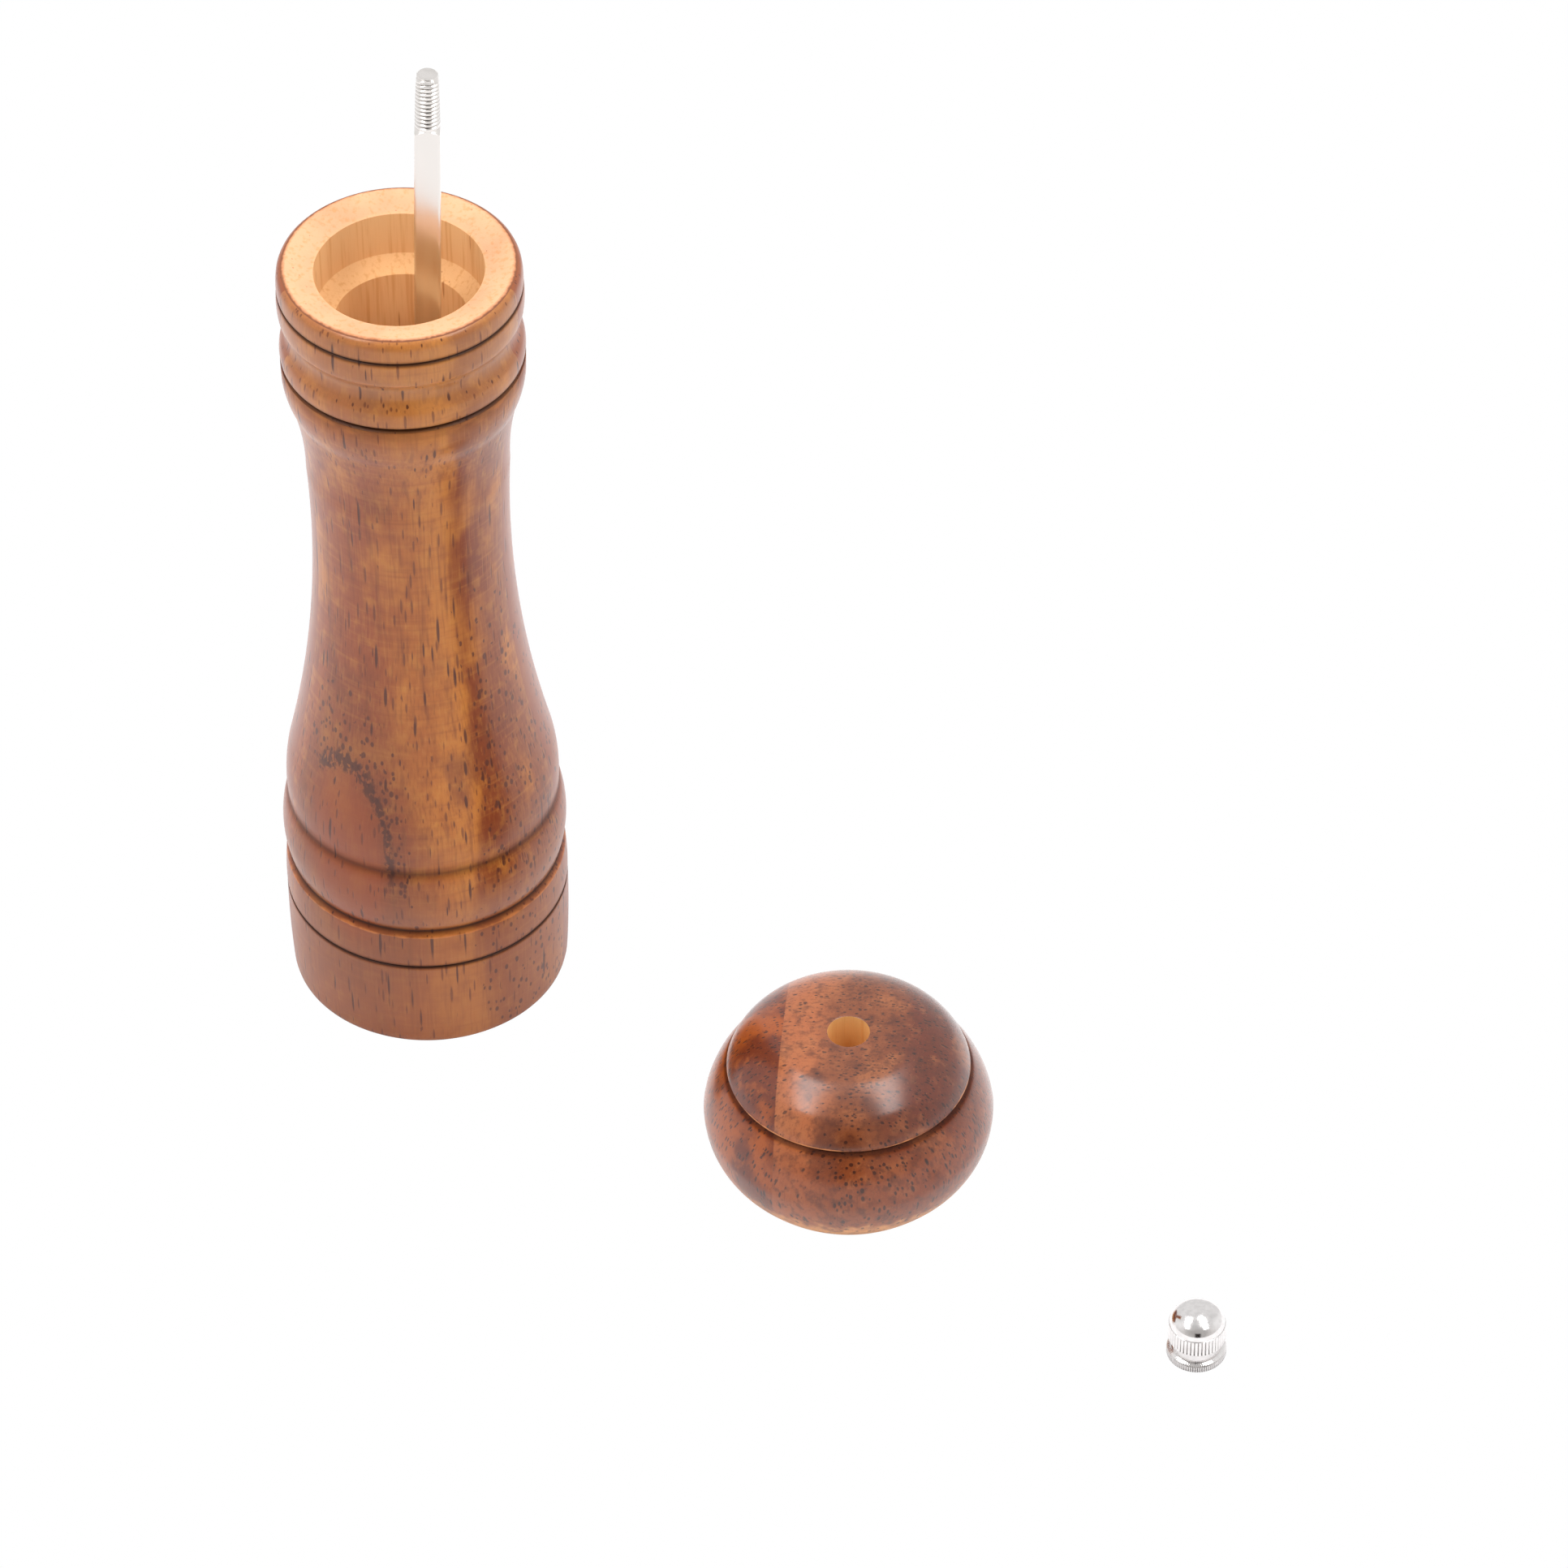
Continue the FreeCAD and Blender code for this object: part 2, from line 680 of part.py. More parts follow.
seat_low = "flange_depth - flange_thickness - strap_thickness"
seat_high = "flange_depth - flange_thickness"
for name, across, along, seat in (
        ("bracket_screw_left", "-screw_circle", "0", seat_low),
        ("bracket_screw_right", "screw_circle", "0", seat_low),
        ("stator_screw_front", "0", "-screw_circle", seat_high),
        ("stator_screw_back", "0", "screw_circle", seat_high)):
    screw = make_screw(name, "screw_head", "screw_head_height", "screw_shank", "screw_length")
    place(screw, across, along, seat)

make_head()
make_driver_plate()
for name, side in (("driver_screw_left", "-"), ("driver_screw_right", "")):
    screw = make_screw(name, "small_head", "(plate_lift * 0.8)", "small_shank",
                       "(small_length - 1)")
    place(screw, "head_x %s plate_screw_offset" % (side or "+"), "head_y", "plate_lift")
make_adjusting_nut()

doc.recompute()

# ---------------------------------------------------------------- checks and export
for item in doc.Objects:
    if "Invalid" in item.State or "Error" in item.State:
        raise RuntimeError("%s could not be built: %s" % (item.Label, item.State))
for body in SUBPARTS:
    shape = body.Shape
    if shape.isNull() or not shape.isValid() or len(shape.Solids) != 1:
        raise RuntimeError("%s is not one valid solid" % body.Label)

os.makedirs("parts", exist_ok=True)
for body in SUBPARTS:
    body.Shape.exportStep("parts/%s.step" % body.Label)
    box = body.Shape.BoundBox
    print("%-22s volume %9.1f mm3  z %.2f to %.2f" % (
        body.Label, body.Shape.Volume, box.ZMin, box.ZMax))
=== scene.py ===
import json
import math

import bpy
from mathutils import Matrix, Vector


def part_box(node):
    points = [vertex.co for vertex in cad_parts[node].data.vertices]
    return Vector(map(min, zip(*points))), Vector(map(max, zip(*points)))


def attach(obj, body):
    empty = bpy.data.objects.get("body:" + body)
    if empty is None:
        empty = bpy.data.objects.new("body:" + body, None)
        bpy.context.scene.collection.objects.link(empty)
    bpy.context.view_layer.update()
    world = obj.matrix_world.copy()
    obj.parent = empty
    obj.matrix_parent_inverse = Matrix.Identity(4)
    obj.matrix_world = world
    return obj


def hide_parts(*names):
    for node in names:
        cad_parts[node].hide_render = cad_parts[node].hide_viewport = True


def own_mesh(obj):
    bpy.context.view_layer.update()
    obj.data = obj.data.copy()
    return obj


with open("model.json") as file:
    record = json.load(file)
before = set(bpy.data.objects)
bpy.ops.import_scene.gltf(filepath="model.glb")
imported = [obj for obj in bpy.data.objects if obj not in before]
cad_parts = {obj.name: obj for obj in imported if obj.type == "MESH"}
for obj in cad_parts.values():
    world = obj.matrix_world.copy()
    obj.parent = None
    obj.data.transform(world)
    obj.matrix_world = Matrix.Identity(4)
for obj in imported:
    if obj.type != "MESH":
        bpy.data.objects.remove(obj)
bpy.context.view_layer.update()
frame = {"record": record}

# %% [markdown]
# # A turned pepper mill, taken apart for filling
#
# The imported model is already in the scene: every steel part of the mechanism, the two turned
# pieces of wood, the square spindle and the nut, each in its place. The wood, the spindle and
# the nut are the parts that the eye meets, so they are turned again here with finer edges,
# and each finish is mixed from nodes. The grinding parts keep their own meshes, and the spring
# is copied.

MM = 0.001
BODY_LOW, BODY_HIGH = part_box("mill_body")
HEAD_LOW, HEAD_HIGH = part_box("head")
NUT_LOW, NUT_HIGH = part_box("adjusting_nut")
print("body height mm", round((BODY_HIGH.z - BODY_LOW.z) / MM, 2))


def deselect():
    """Leaves nothing selected, so that the next operator acts on one piece only."""
    if bpy.context.object and bpy.context.object.mode != "OBJECT":
        bpy.ops.object.mode_set(mode="OBJECT")
    bpy.ops.object.select_all(action="DESELECT")


def middle(low, high):
    """The vertical axis of a round piece, as x and y."""
    return ((low.x + high.x) / 2, (low.y + high.y) / 2)


HEAD_AXIS = middle(HEAD_LOW, HEAD_HIGH)
NUT_AXIS = middle(NUT_LOW, NUT_HIGH)
print("head axis", HEAD_AXIS, "nut axis", NUT_AXIS)

# %% [markdown]
# ## The camera
#
# The mill is seen from well above, with a long lens, so that its upright lines stay nearly
# parallel. A camera can be aimed with a constraint, but setting its place and its three turns
# directly keeps it simple: pitch down from the horizontal, and a very small roll.

# %% Camera
CAMERA_PLACE = Vector((0.0789, -1.3514, 1.3585))
CAMERA_PITCH = math.radians(44.0925)
CAMERA_ROLL = math.radians(-0.412)
camera_data = bpy.data.cameras.new("camera")
camera_data.lens = 197.24
camera_data.sensor_width = 36.0
camera_data.clip_end = 50.0
camera = bpy.data.objects.new("camera", camera_data)
bpy.context.scene.collection.objects.link(camera)
aim = Matrix.Rotation(math.pi / 2 - CAMERA_PITCH, 4, "X") @ Matrix.Rotation(CAMERA_ROLL, 4, "Z")
camera.matrix_world = Matrix.Translation(CAMERA_PLACE) @ aim
bpy.context.scene.camera = camera
print("camera at", tuple(round(value, 3) for value in camera.location))

# %% [markdown]
# ## The floor and the light
#
# The mill stands in a white light tent: a white floor, two long softboxes overhead on the left
# and right, and bright cloth all round. The floor, the tent and every finish are mixed from
# nodes, so two helpers come first: one turns a hex colour into shader values, and one adds a
# node and links its inputs.

# %% Colour and node helpers
def paint(code):
    """An sRGB hex colour as the linear values that shaders use."""
    shares = [int(code[at:at + 2], 16) / 255 for at in (1, 3, 5)]
    linear = [s / 12.92 if s <= 0.04045 else ((s + 0.055) / 1.055) ** 2.4 for s in shares]
    return (*linear, 1.0)


def node(tree, kind, links=None, **settings):
    """Adds a node; links gives each input a value, an output that feeds it, or a node, which
    stands for its first live output."""
    made = tree.nodes.new(kind)
    for name, value in settings.items():
        setattr(made, name, value)
    for name, value in (links or {}).items():
        if isinstance(value, bpy.types.Node):
            value = next(output for output in value.outputs if output.enabled)
        if isinstance(value, bpy.types.NodeSocket):
            tree.links.new(value, made.inputs[name])
        else:
            made.inputs[name].default_value = value
    return made


print("middle grey as a shader value", round(paint("#808080")[0], 3))

# %% [markdown]
# ## The floor
#
# A sheet of white paper, lit until it burns out. More light would do that, but it would bleach
# the wood too. So the floor is plain white to the camera, and paper to every other ray, which
# still bounces light up on the mill. It ends in front, where the tent is open.

# %% Floor
FLOOR_SIDE = 8.0
FLOOR_FRONT = -0.6
FLOOR_DROP = 0.05 * MM
deselect()
bpy.ops.mesh.primitive_plane_add(size=FLOOR_SIDE, location=(
    0, FLOOR_FRONT + FLOOR_SIDE / 2, -FLOOR_DROP))
floor = bpy.context.active_object
floor.name = "floor"
floor_paper = bpy.data.materials.new("white_paper")
floor_paper.use_nodes = True
tree = floor_paper.node_tree
paper_shader = tree.nodes["Principled BSDF"]
paper_shader.inputs["Base Color"].default_value = paint("#F4F4F5")
paper_shader.inputs["Roughness"].default_value = 0.9
paper_shader.inputs["Specular IOR Level"].default_value = 0.1
ray = node(tree, "ShaderNodeLightPath")
burnt_out = node(tree, "ShaderNodeEmission", {"Color": paint("#FFFFFF"), "Strength": 1.0})
seen = node(tree, "ShaderNodeMixShader", {0: ray.outputs["Is Camera Ray"], 1: paper_shader,
            2: burnt_out})
tree.links.new(seen.outputs[0], tree.nodes["Material Output"].inputs["Surface"])
floor.data.materials.append(floor_paper)
print("floor m across", FLOOR_SIDE, "front edge at", FLOOR_FRONT)

# %% [markdown]
# ## The softboxes
#
# Two long, narrow area lamps hang over the left and right and run from back to front, so that
# the lacquer shows two separate highlights. Square lamps would give rounder ones. Each is aimed
# at the middle of the table by a matrix made of its three directions.

# %% Softboxes
TABLE_MIDDLE = Vector((0.07, -0.05, 0))
LAMP_TOWARDS = (0.36, -0.03, 0.93)
LAMP_ALONG = (0.28, -0.88, -0.38)
SOFTBOX_REACH = 1.4
SOFTBOX_WIDTH = 0.3
SOFTBOX_LENGTH = 1.25
SOFTBOX_POWER = 8.9
for side in (-1, 1):
    light_data = bpy.data.lights.new("softbox", "AREA")
    light_data.shape = "RECTANGLE"
    light_data.size = SOFTBOX_WIDTH
    light_data.size_y = SOFTBOX_LENGTH
    light_data.energy = SOFTBOX_POWER
    softbox = bpy.data.objects.new("softbox", light_data)
    towards = Vector((side * LAMP_TOWARDS[0], *LAMP_TOWARDS[1:])).normalized()
    along = Vector((side * LAMP_ALONG[0], *LAMP_ALONG[1:]))
    width_way = along.cross(towards).normalized()
    along = towards.cross(width_way)
    turned = Matrix((width_way, along, towards)).transposed().to_4x4()
    softbox.matrix_world = Matrix.Translation(
        towards * SOFTBOX_REACH + TABLE_MIDDLE) @ turned
    bpy.context.scene.collection.objects.link(softbox)

# %% [markdown]
# ## The cloth of the tent
#
# Polished metal shows what surrounds it, so the cloth is not one flat white. It is greyer
# towards the front, brighter at the sides and behind, and has a narrow dark gap where the front
# is open. A picture of a studio could be wrapped round the scene, but a few nodes on the
# direction of the ray do the same and can be tuned. The camera itself sees only plain white.

# %% Tent
CLOTH_GREYS = (0.1, -0.7)
GAP_SIDE = (0.22, 0.14)
GAP_TOP = (0.62, 0.5)
GAP_FRONT = -0.5
SIDE_GLOW = (0.35, 0.85)
BACK_GLOW = (0.2, 0.7)
TENT_LIGHT = 0.77
TENT_SIDE_LIGHT = 1.08
TENT_BACK_LIGHT = 0.95
world = bpy.data.worlds.new("light_tent")
bpy.context.scene.world = world
world.use_nodes = True
tree = world.node_tree
tree.nodes.clear()
direction = node(tree, "ShaderNodeTexCoord").outputs["Generated"]
axes = node(tree, "ShaderNodeSeparateXYZ", {"Vector": direction})
front = node(tree, "ShaderNodeMapRange", {"Value": axes.outputs["Y"],
             "From Min": CLOTH_GREYS[0], "From Max": CLOTH_GREYS[1], "To Min": 0.0,
             "To Max": 1.0}, interpolation_type="SMOOTHSTEP")
cloth = node(tree, "ShaderNodeMix", {0: front.outputs["Result"], 6: paint("#FFFFFF"),
             7: paint("#DDDAD8")}, data_type="RGBA")
sideways = node(tree, "ShaderNodeMath", {0: axes.outputs["X"]}, operation="ABSOLUTE")
narrow = node(tree, "ShaderNodeMapRange", {"Value": sideways, "From Min": GAP_SIDE[0],
              "From Max": GAP_SIDE[1], "To Min": 0.0, "To Max": 1.0})
low = node(tree, "ShaderNodeMapRange", {"Value": axes.outputs["Z"], "From Min": GAP_TOP[0],
           "From Max": GAP_TOP[1], "To Min": 0.0, "To Max": 1.0})
facing = node(tree, "ShaderNodeMath", {0: axes.outputs["Y"], 1: GAP_FRONT},
              operation="LESS_THAN")
gap = node(tree, "ShaderNodeMath", {0: narrow.outputs["Result"], 1: low.outputs["Result"]},
           operation="MULTIPLY")
gap = node(tree, "ShaderNodeMath", {0: gap.outputs[0], 1: facing.outputs[0]},
           operation="MULTIPLY")
tent = node(tree, "ShaderNodeMix", {0: gap.outputs[0], 6: cloth.outputs[2],
            7: paint("#241C1A")}, data_type="RGBA")
ray = node(tree, "ShaderNodeLightPath")
glow = node(tree, "ShaderNodeMapRange", {"Value": sideways, "From Min": SIDE_GLOW[0],
            "From Max": SIDE_GLOW[1], "To Min": TENT_LIGHT, "To Max": TENT_SIDE_LIGHT},
            interpolation_type="SMOOTHSTEP")
behind = node(tree, "ShaderNodeMapRange", {"Value": axes.outputs["Y"],
              "From Min": BACK_GLOW[0], "From Max": BACK_GLOW[1], "To Min": TENT_LIGHT,
              "To Max": TENT_BACK_LIGHT}, interpolation_type="SMOOTHSTEP")
glow = node(tree, "ShaderNodeMath", {0: glow, 1: behind}, operation="MAXIMUM")
backdrop = node(tree, "ShaderNodeBackground", {"Color": tent, "Strength": glow})
plain = node(tree, "ShaderNodeBackground", {"Color": paint("#FFFFFF"), "Strength": 1.0})
shown = node(tree, "ShaderNodeMixShader", {0: ray.outputs["Is Camera Ray"], 1: backdrop,
             2: plain})
node(tree, "ShaderNodeOutputWorld", {"Surface": shown})
view = bpy.context.scene.view_settings
view.view_transform = "Standard"
view.look = "None"
print("tent nodes", len(tree.nodes))

# %% [markdown]
# ## Turning
#
# On a lathe the blank spins and the gouge follows a line. The same is done here: one vertex is
# extruded along half of the section, and the spin operator sweeps it round the axis. The
# alternative, stacking and scaling rings, gives the same shape but makes arcs harder to keep
# true. Sharp arrises are then selected by their angle and given a small bevel, as sanding does.

# %% Outline of a turned piece and the lathe
ARC_STEP = 0.9
MERGE_BELOW = 0.002 * MM
ARRIS_ANGLE = math.radians(24)
SMOOTH_ANGLE = math.radians(40)


def outline_points(corners):
    """Points in mm along an outline of (radius, height) corners. A third value is the radius
    of an arc to the next corner: positive swells to the right of the way of travel."""
    points = []
    for corner, following in zip(corners, corners[1:] + corners[:1]):
        start, end = Vector(corner[:2]), Vector(following[:2])
        points.append(start)
        if len(corner) == 2:
            continue
        chord = end - start
        half = chord.length / 2
        side = Vector((chord.y, -chord.x)).normalized() * math.copysign(1, corner[2])
        reach = math.sqrt(corner[2] ** 2 - half ** 2)
        centre = start + chord / 2 - side * reach
        sweep = 2 * math.asin(half / abs(corner[2])) * math.copysign(1, corner[2])
        count = max(2, round(abs(sweep * corner[2]) / ARC_STEP))
        for number in range(1, count):
            turn_by = Matrix.Rotation(sweep * number / count, 2)
            points.append(centre + turn_by @ (start - centre))
    return points


def turn_on_lathe(name, corners, axis=(0.0, 0.0), segments=256, arris=0.12):
    """A turned piece from its half outline in mm, spun about an upright axis."""
    points = [Vector((axis[0] + p.x * MM, axis[1], p.y * MM)) for p in outline_points(corners)]
    deselect()
    bpy.ops.mesh.primitive_plane_add(size=MM, location=(0, 0, 0))
    piece = bpy.context.active_object
    piece.name = name
    bpy.ops.object.mode_set(mode="EDIT")
    bpy.ops.mesh.select_mode(type="VERT")
    bpy.ops.mesh.select_all(action="SELECT")
    bpy.ops.mesh.merge(type="CENTER")
    bpy.ops.transform.translate(value=points[0])
    for start, end in zip(points, points[1:] + points[:1]):
        bpy.ops.mesh.extrude_vertices_move(TRANSFORM_OT_translate={"value": end - start})
    bpy.ops.mesh.select_all(action="SELECT")
    bpy.ops.mesh.remove_doubles(threshold=MERGE_BELOW)
    bpy.ops.mesh.spin(steps=segments, angle=math.tau, center=(*axis, 0), axis=(0, 0, 1))
    bpy.ops.mesh.select_all(action="SELECT")
    bpy.ops.mesh.remove_doubles(threshold=MERGE_BELOW)
    bpy.ops.mesh.normals_make_consistent(inside=False)
    if arris:
        bpy.ops.mesh.select_all(action="DESELECT")
        bpy.ops.mesh.select_mode(type="EDGE")
        bpy.ops.mesh.edges_select_sharp(sharpness=ARRIS_ANGLE)
        bpy.ops.mesh.bevel(offset=arris * MM, segments=2, affect="EDGES")
    bpy.ops.object.mode_set(mode="OBJECT")
    bpy.ops.object.shade_smooth_by_angle(angle=SMOOTH_ANGLE)
    print(name, "faces", len(piece.data.polygons))
    return piece


# %% [markdown]
# ## The wooden body
#
# A hardwood blank turned between centres: plain foot, bead, long waist, cove and banded top,
# with thin lines burnt in by a wire. It is bored through for the peppercorns, counterbored for
# the head and seated below for the grinding ring. The outline carries the same heights as the
# model's, and the burnt lines are real grooves, so that their edges catch the light.

# %% Body
BODY_HEIGHT = BODY_HIGH.z / MM
FOOT_RADIUS = 31.0
NECK_RADIUS = 21.2
NECK_HEIGHT = 130.0
TOP_RADIUS = 25.7
LOW_LINE = 24.2
BEAD_BOTTOM = 34.2
BEAD_TOP = 51.4
HIGH_GROOVE = 176.2
RIM_LINE = 194.4
RIM_INNER = 23.8
SOCKET_RADIUS = 17.8
SOCKET_FLOOR = 187.7
CHAMBER_RADIUS = 14.0
CHAMBER_TOP = 185.0
RING_SEAT_RADIUS = 17.25
RING_SEAT_TOP = 21.2
FLANGE_SEAT_RADIUS = 25.6
FLANGE_SEAT_TOP = 4.0

body_corners = [
    (FLANGE_SEAT_RADIUS, 0),
    (FOOT_RADIUS - 1.4, 0, 1.8),
    (FOOT_RADIUS - 0.6, 1.6, 300),
    (FOOT_RADIUS - 0.05, LOW_LINE - 0.3),
    (FOOT_RADIUS - 0.5, LOW_LINE - 0.1),
    (FOOT_RADIUS - 0.5, LOW_LINE + 0.1),
    (FOOT_RADIUS - 0.05, LOW_LINE + 0.3, 60),
    (FOOT_RADIUS - 0.3, BEAD_BOTTOM - 1.2),
    (FOOT_RADIUS - 1.3, BEAD_BOTTOM, 27),
    (FOOT_RADIUS - 1.4, BEAD_TOP, 45),
    (FOOT_RADIUS - 2.55, 66, -285),
    (NECK_RADIUS + 0.4, NECK_HEIGHT + 16, -70),
    (NECK_RADIUS + 2.7, HIGH_GROOVE - 11.6, 22),
    (TOP_RADIUS - 0.1, HIGH_GROOVE - 5.2),
    (TOP_RADIUS, HIGH_GROOVE - 0.6),
    (TOP_RADIUS - 1.1, HIGH_GROOVE - 0.1),
    (TOP_RADIUS - 1.1, HIGH_GROOVE + 0.1),
    (TOP_RADIUS - 0.05, HIGH_GROOVE + 0.6, 9),
    (TOP_RADIUS - 0.4, HIGH_GROOVE + 5, -5.6),
    (TOP_RADIUS - 0.1, RIM_LINE - 6, 20),
    (TOP_RADIUS, RIM_LINE - 0.35),
    (TOP_RADIUS - 0.5, RIM_LINE - 0.1),
    (TOP_RADIUS - 0.5, RIM_LINE + 0.1),
    (TOP_RADIUS, RIM_LINE + 0.35, 16),
    (TOP_RADIUS - 0.2, BODY_HEIGHT - 1.6, 2),
    (RIM_INNER, BODY_HEIGHT),
    (SOCKET_RADIUS, BODY_HEIGHT - 1.67),
    (SOCKET_RADIUS, SOCKET_FLOOR),
    (CHAMBER_RADIUS, CHAMBER_TOP),
    (CHAMBER_RADIUS, RING_SEAT_TOP),
    (RING_SEAT_RADIUS, RING_SEAT_TOP),
    (RING_SEAT_RADIUS, FLANGE_SEAT_TOP),
    (FLANGE_SEAT_RADIUS, FLANGE_SEAT_TOP),
]
body = turn_on_lathe("turned_body", body_corners)

# %% [markdown]
# ## The head
#
# A flattened ball with a crown that stands a hair over a narrow ledge. Underneath it has a
# tenon that drops into the body, with a recess for the steel plate, and a hole goes right
# through it. It is turned the same way, about its own axis.

# %% Head
HEAD_TOP = 43.9
HEAD_RADIUS = 31.2
TENON_RADIUS = 16.6
TENON_LENGTH = 5.0
LEDGE_RADIUS = 26.2
LEDGE_HEIGHT = 34.2
HEAD_HOLE = 4.53
PLATE_SEAT_RADIUS = 13.3
PLATE_SEAT_TOP = 1.6

head_corners = [
    (PLATE_SEAT_RADIUS, 0),
    (TENON_RADIUS - 0.5, 0),
    (TENON_RADIUS, 0.5),
    (TENON_RADIUS, TENON_LENGTH - 1.5),
    (RIM_INNER - 0.8, TENON_LENGTH, 48),
    (HEAD_RADIUS - 4.1, TENON_LENGTH + 4.7, 19),
    (HEAD_RADIUS, HEAD_TOP - 22.2, 24),
    (LEDGE_RADIUS + 0.3, LEDGE_HEIGHT - 1),
    (LEDGE_RADIUS - 0.5, LEDGE_HEIGHT - 0.45),
    (LEDGE_RADIUS, LEDGE_HEIGHT, 14),
    (LEDGE_RADIUS - 3.5, HEAD_TOP - 4.2, 17),
    (LEDGE_RADIUS - 11.9, HEAD_TOP - 0.4, 60),
    (HEAD_HOLE, HEAD_TOP),
    (HEAD_HOLE, PLATE_SEAT_TOP),
    (PLATE_SEAT_RADIUS, PLATE_SEAT_TOP),
]
head = turn_on_lathe("turned_head", head_corners, HEAD_AXIS, arris=0.1)

# %% The two turned pieces take their places
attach(body, "body")
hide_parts("mill_body")
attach(head, "head")
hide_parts("head")
print("turned pieces", body.name, head.name)

# %% [markdown]
# ## The spindle
#
# A drawn square steel bar with rounded corners. Its top end is turned down on a lathe, so the
# flats end in a cone, and a one-millimetre thread is cut on it. Modelling follows the same
# order: a box with its four long edges bevelled, a boolean with a turned shape that keeps only
# what the lathe leaves, and a V-shaped cutter swept by the Screw modifier that cuts the thread.

# %% Sizes of the spindle, and two helpers
SPINDLE_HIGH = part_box("spindle")[1]
BAR_WIDTH = 5.45
BAR_CORNER = 0.6
BAR_FOOT = 6.0
SPIGOT_RADIUS = 2.4
SPIGOT_LENGTH = 5.4
THREAD_RADIUS = 2.62
THREAD_PITCH = 1.0
THREAD_DEPTH = 0.5
THREAD_BOTTOM = 237.0
SPINDLE_TOP = 250.5
print("spindle mm across", BAR_WIDTH, "thread mm long", SPINDLE_TOP - THREAD_BOTTOM)


def apply_to(piece, kind, **settings):
    """Adds a modifier to a piece and applies it."""
    modifier = piece.modifiers.new(kind.lower(), kind)
    for name, value in settings.items():
        setattr(modifier, name, value)
    deselect()
    piece.select_set(True)
    bpy.context.view_layer.objects.active = piece
    bpy.ops.object.modifier_apply(modifier=modifier.name)


def discard(tool):
    """Deletes a shape that was only used to cut another."""
    deselect()
    tool.select_set(True)
    bpy.ops.object.delete()


# %% Square bar
deselect()
bpy.ops.mesh.primitive_cube_add(size=MM, location=(0, 0, 0))
spindle = bpy.context.active_object
spindle.name = "square_spindle"
for edge in spindle.data.edges:
    start, end = (spindle.data.vertices[number].co for number in edge.vertices)
    edge.select = abs(start.z - end.z) > 0.5 * MM
bpy.ops.object.mode_set(mode="EDIT")
bpy.ops.mesh.select_mode(type="EDGE")
bpy.ops.mesh.bevel(offset=BAR_CORNER / BAR_WIDTH * MM, segments=4, affect="EDGES")
bpy.ops.mesh.select_all(action="SELECT")
bpy.ops.transform.resize(value=(BAR_WIDTH, BAR_WIDTH, SPINDLE_TOP), center_override=(0, 0, 0))
bpy.ops.transform.translate(value=(0, 0, SPINDLE_TOP / 2 * MM))
bpy.ops.object.mode_set(mode="OBJECT")
print("square bar faces", len(spindle.data.polygons))

# %% Turned ends
turned_outline = [
    (0, BAR_FOOT + 0.4 - SPIGOT_LENGTH),
    (SPIGOT_RADIUS - 0.3, BAR_FOOT + 0.4 - SPIGOT_LENGTH),
    (SPIGOT_RADIUS, BAR_FOOT + 0.7 - SPIGOT_LENGTH),
    (SPIGOT_RADIUS, BAR_FOOT),
    (BAR_WIDTH, BAR_FOOT),
    (BAR_WIDTH, THREAD_BOTTOM - 2.2),
    (THREAD_RADIUS, THREAD_BOTTOM + 0.2),
    (THREAD_RADIUS, SPINDLE_TOP - 0.7),
    (THREAD_RADIUS - 0.62, SPINDLE_TOP - 0.02),
    (0, SPINDLE_TOP - 0.02),
]
kept_shape = turn_on_lathe("kept_shape", turned_outline, segments=96, arris=0)
apply_to(spindle, "BOOLEAN", operation="INTERSECT", object=kept_shape, solver="EXACT")
discard(kept_shape)

# %% Thread
THREAD_OVERCUT = 0.15
THREAD_STEPS = 48
THREAD_TURNS = 14
deselect()
bpy.ops.mesh.primitive_plane_add(size=MM, location=(0, 0, 0))
cutter = bpy.context.active_object
bpy.ops.object.mode_set(mode="EDIT")
bpy.ops.mesh.select_mode(type="VERT")
bpy.ops.mesh.select_all(action="SELECT")
bpy.ops.mesh.merge(type="CENTER")
groove = [Vector(((THREAD_RADIUS - THREAD_DEPTH) * MM, 0, (THREAD_BOTTOM + 0.5) * MM)),
          Vector(((THREAD_RADIUS + THREAD_OVERCUT) * MM, 0, (THREAD_BOTTOM + 0.05) * MM)),
          Vector(((THREAD_RADIUS + THREAD_OVERCUT) * MM, 0, (THREAD_BOTTOM + 0.95) * MM))]
bpy.ops.transform.translate(value=groove[0])
for start, end in zip(groove, groove[1:] + groove[:1]):
    bpy.ops.mesh.extrude_vertices_move(TRANSFORM_OT_translate={"value": end - start})
bpy.ops.mesh.select_all(action="SELECT")
bpy.ops.mesh.remove_doubles(threshold=0.001 * MM)
bpy.ops.object.mode_set(mode="OBJECT")
apply_to(cutter, "SCREW", axis="Z", angle=math.tau, screw_offset=THREAD_PITCH * MM,
         steps=THREAD_STEPS, render_steps=THREAD_STEPS, iterations=THREAD_TURNS,
         use_smooth_shade=False)
bpy.ops.object.mode_set(mode="EDIT")
bpy.ops.mesh.select_all(action="DESELECT")
bpy.ops.mesh.select_non_manifold(extend=False)
bpy.ops.mesh.fill()
bpy.ops.mesh.select_all(action="SELECT")
bpy.ops.mesh.normals_make_consistent(inside=False)
bpy.ops.object.mode_set(mode="OBJECT")
apply_to(spindle, "BOOLEAN", operation="DIFFERENCE", object=cutter, solver="EXACT")
discard(cutter)

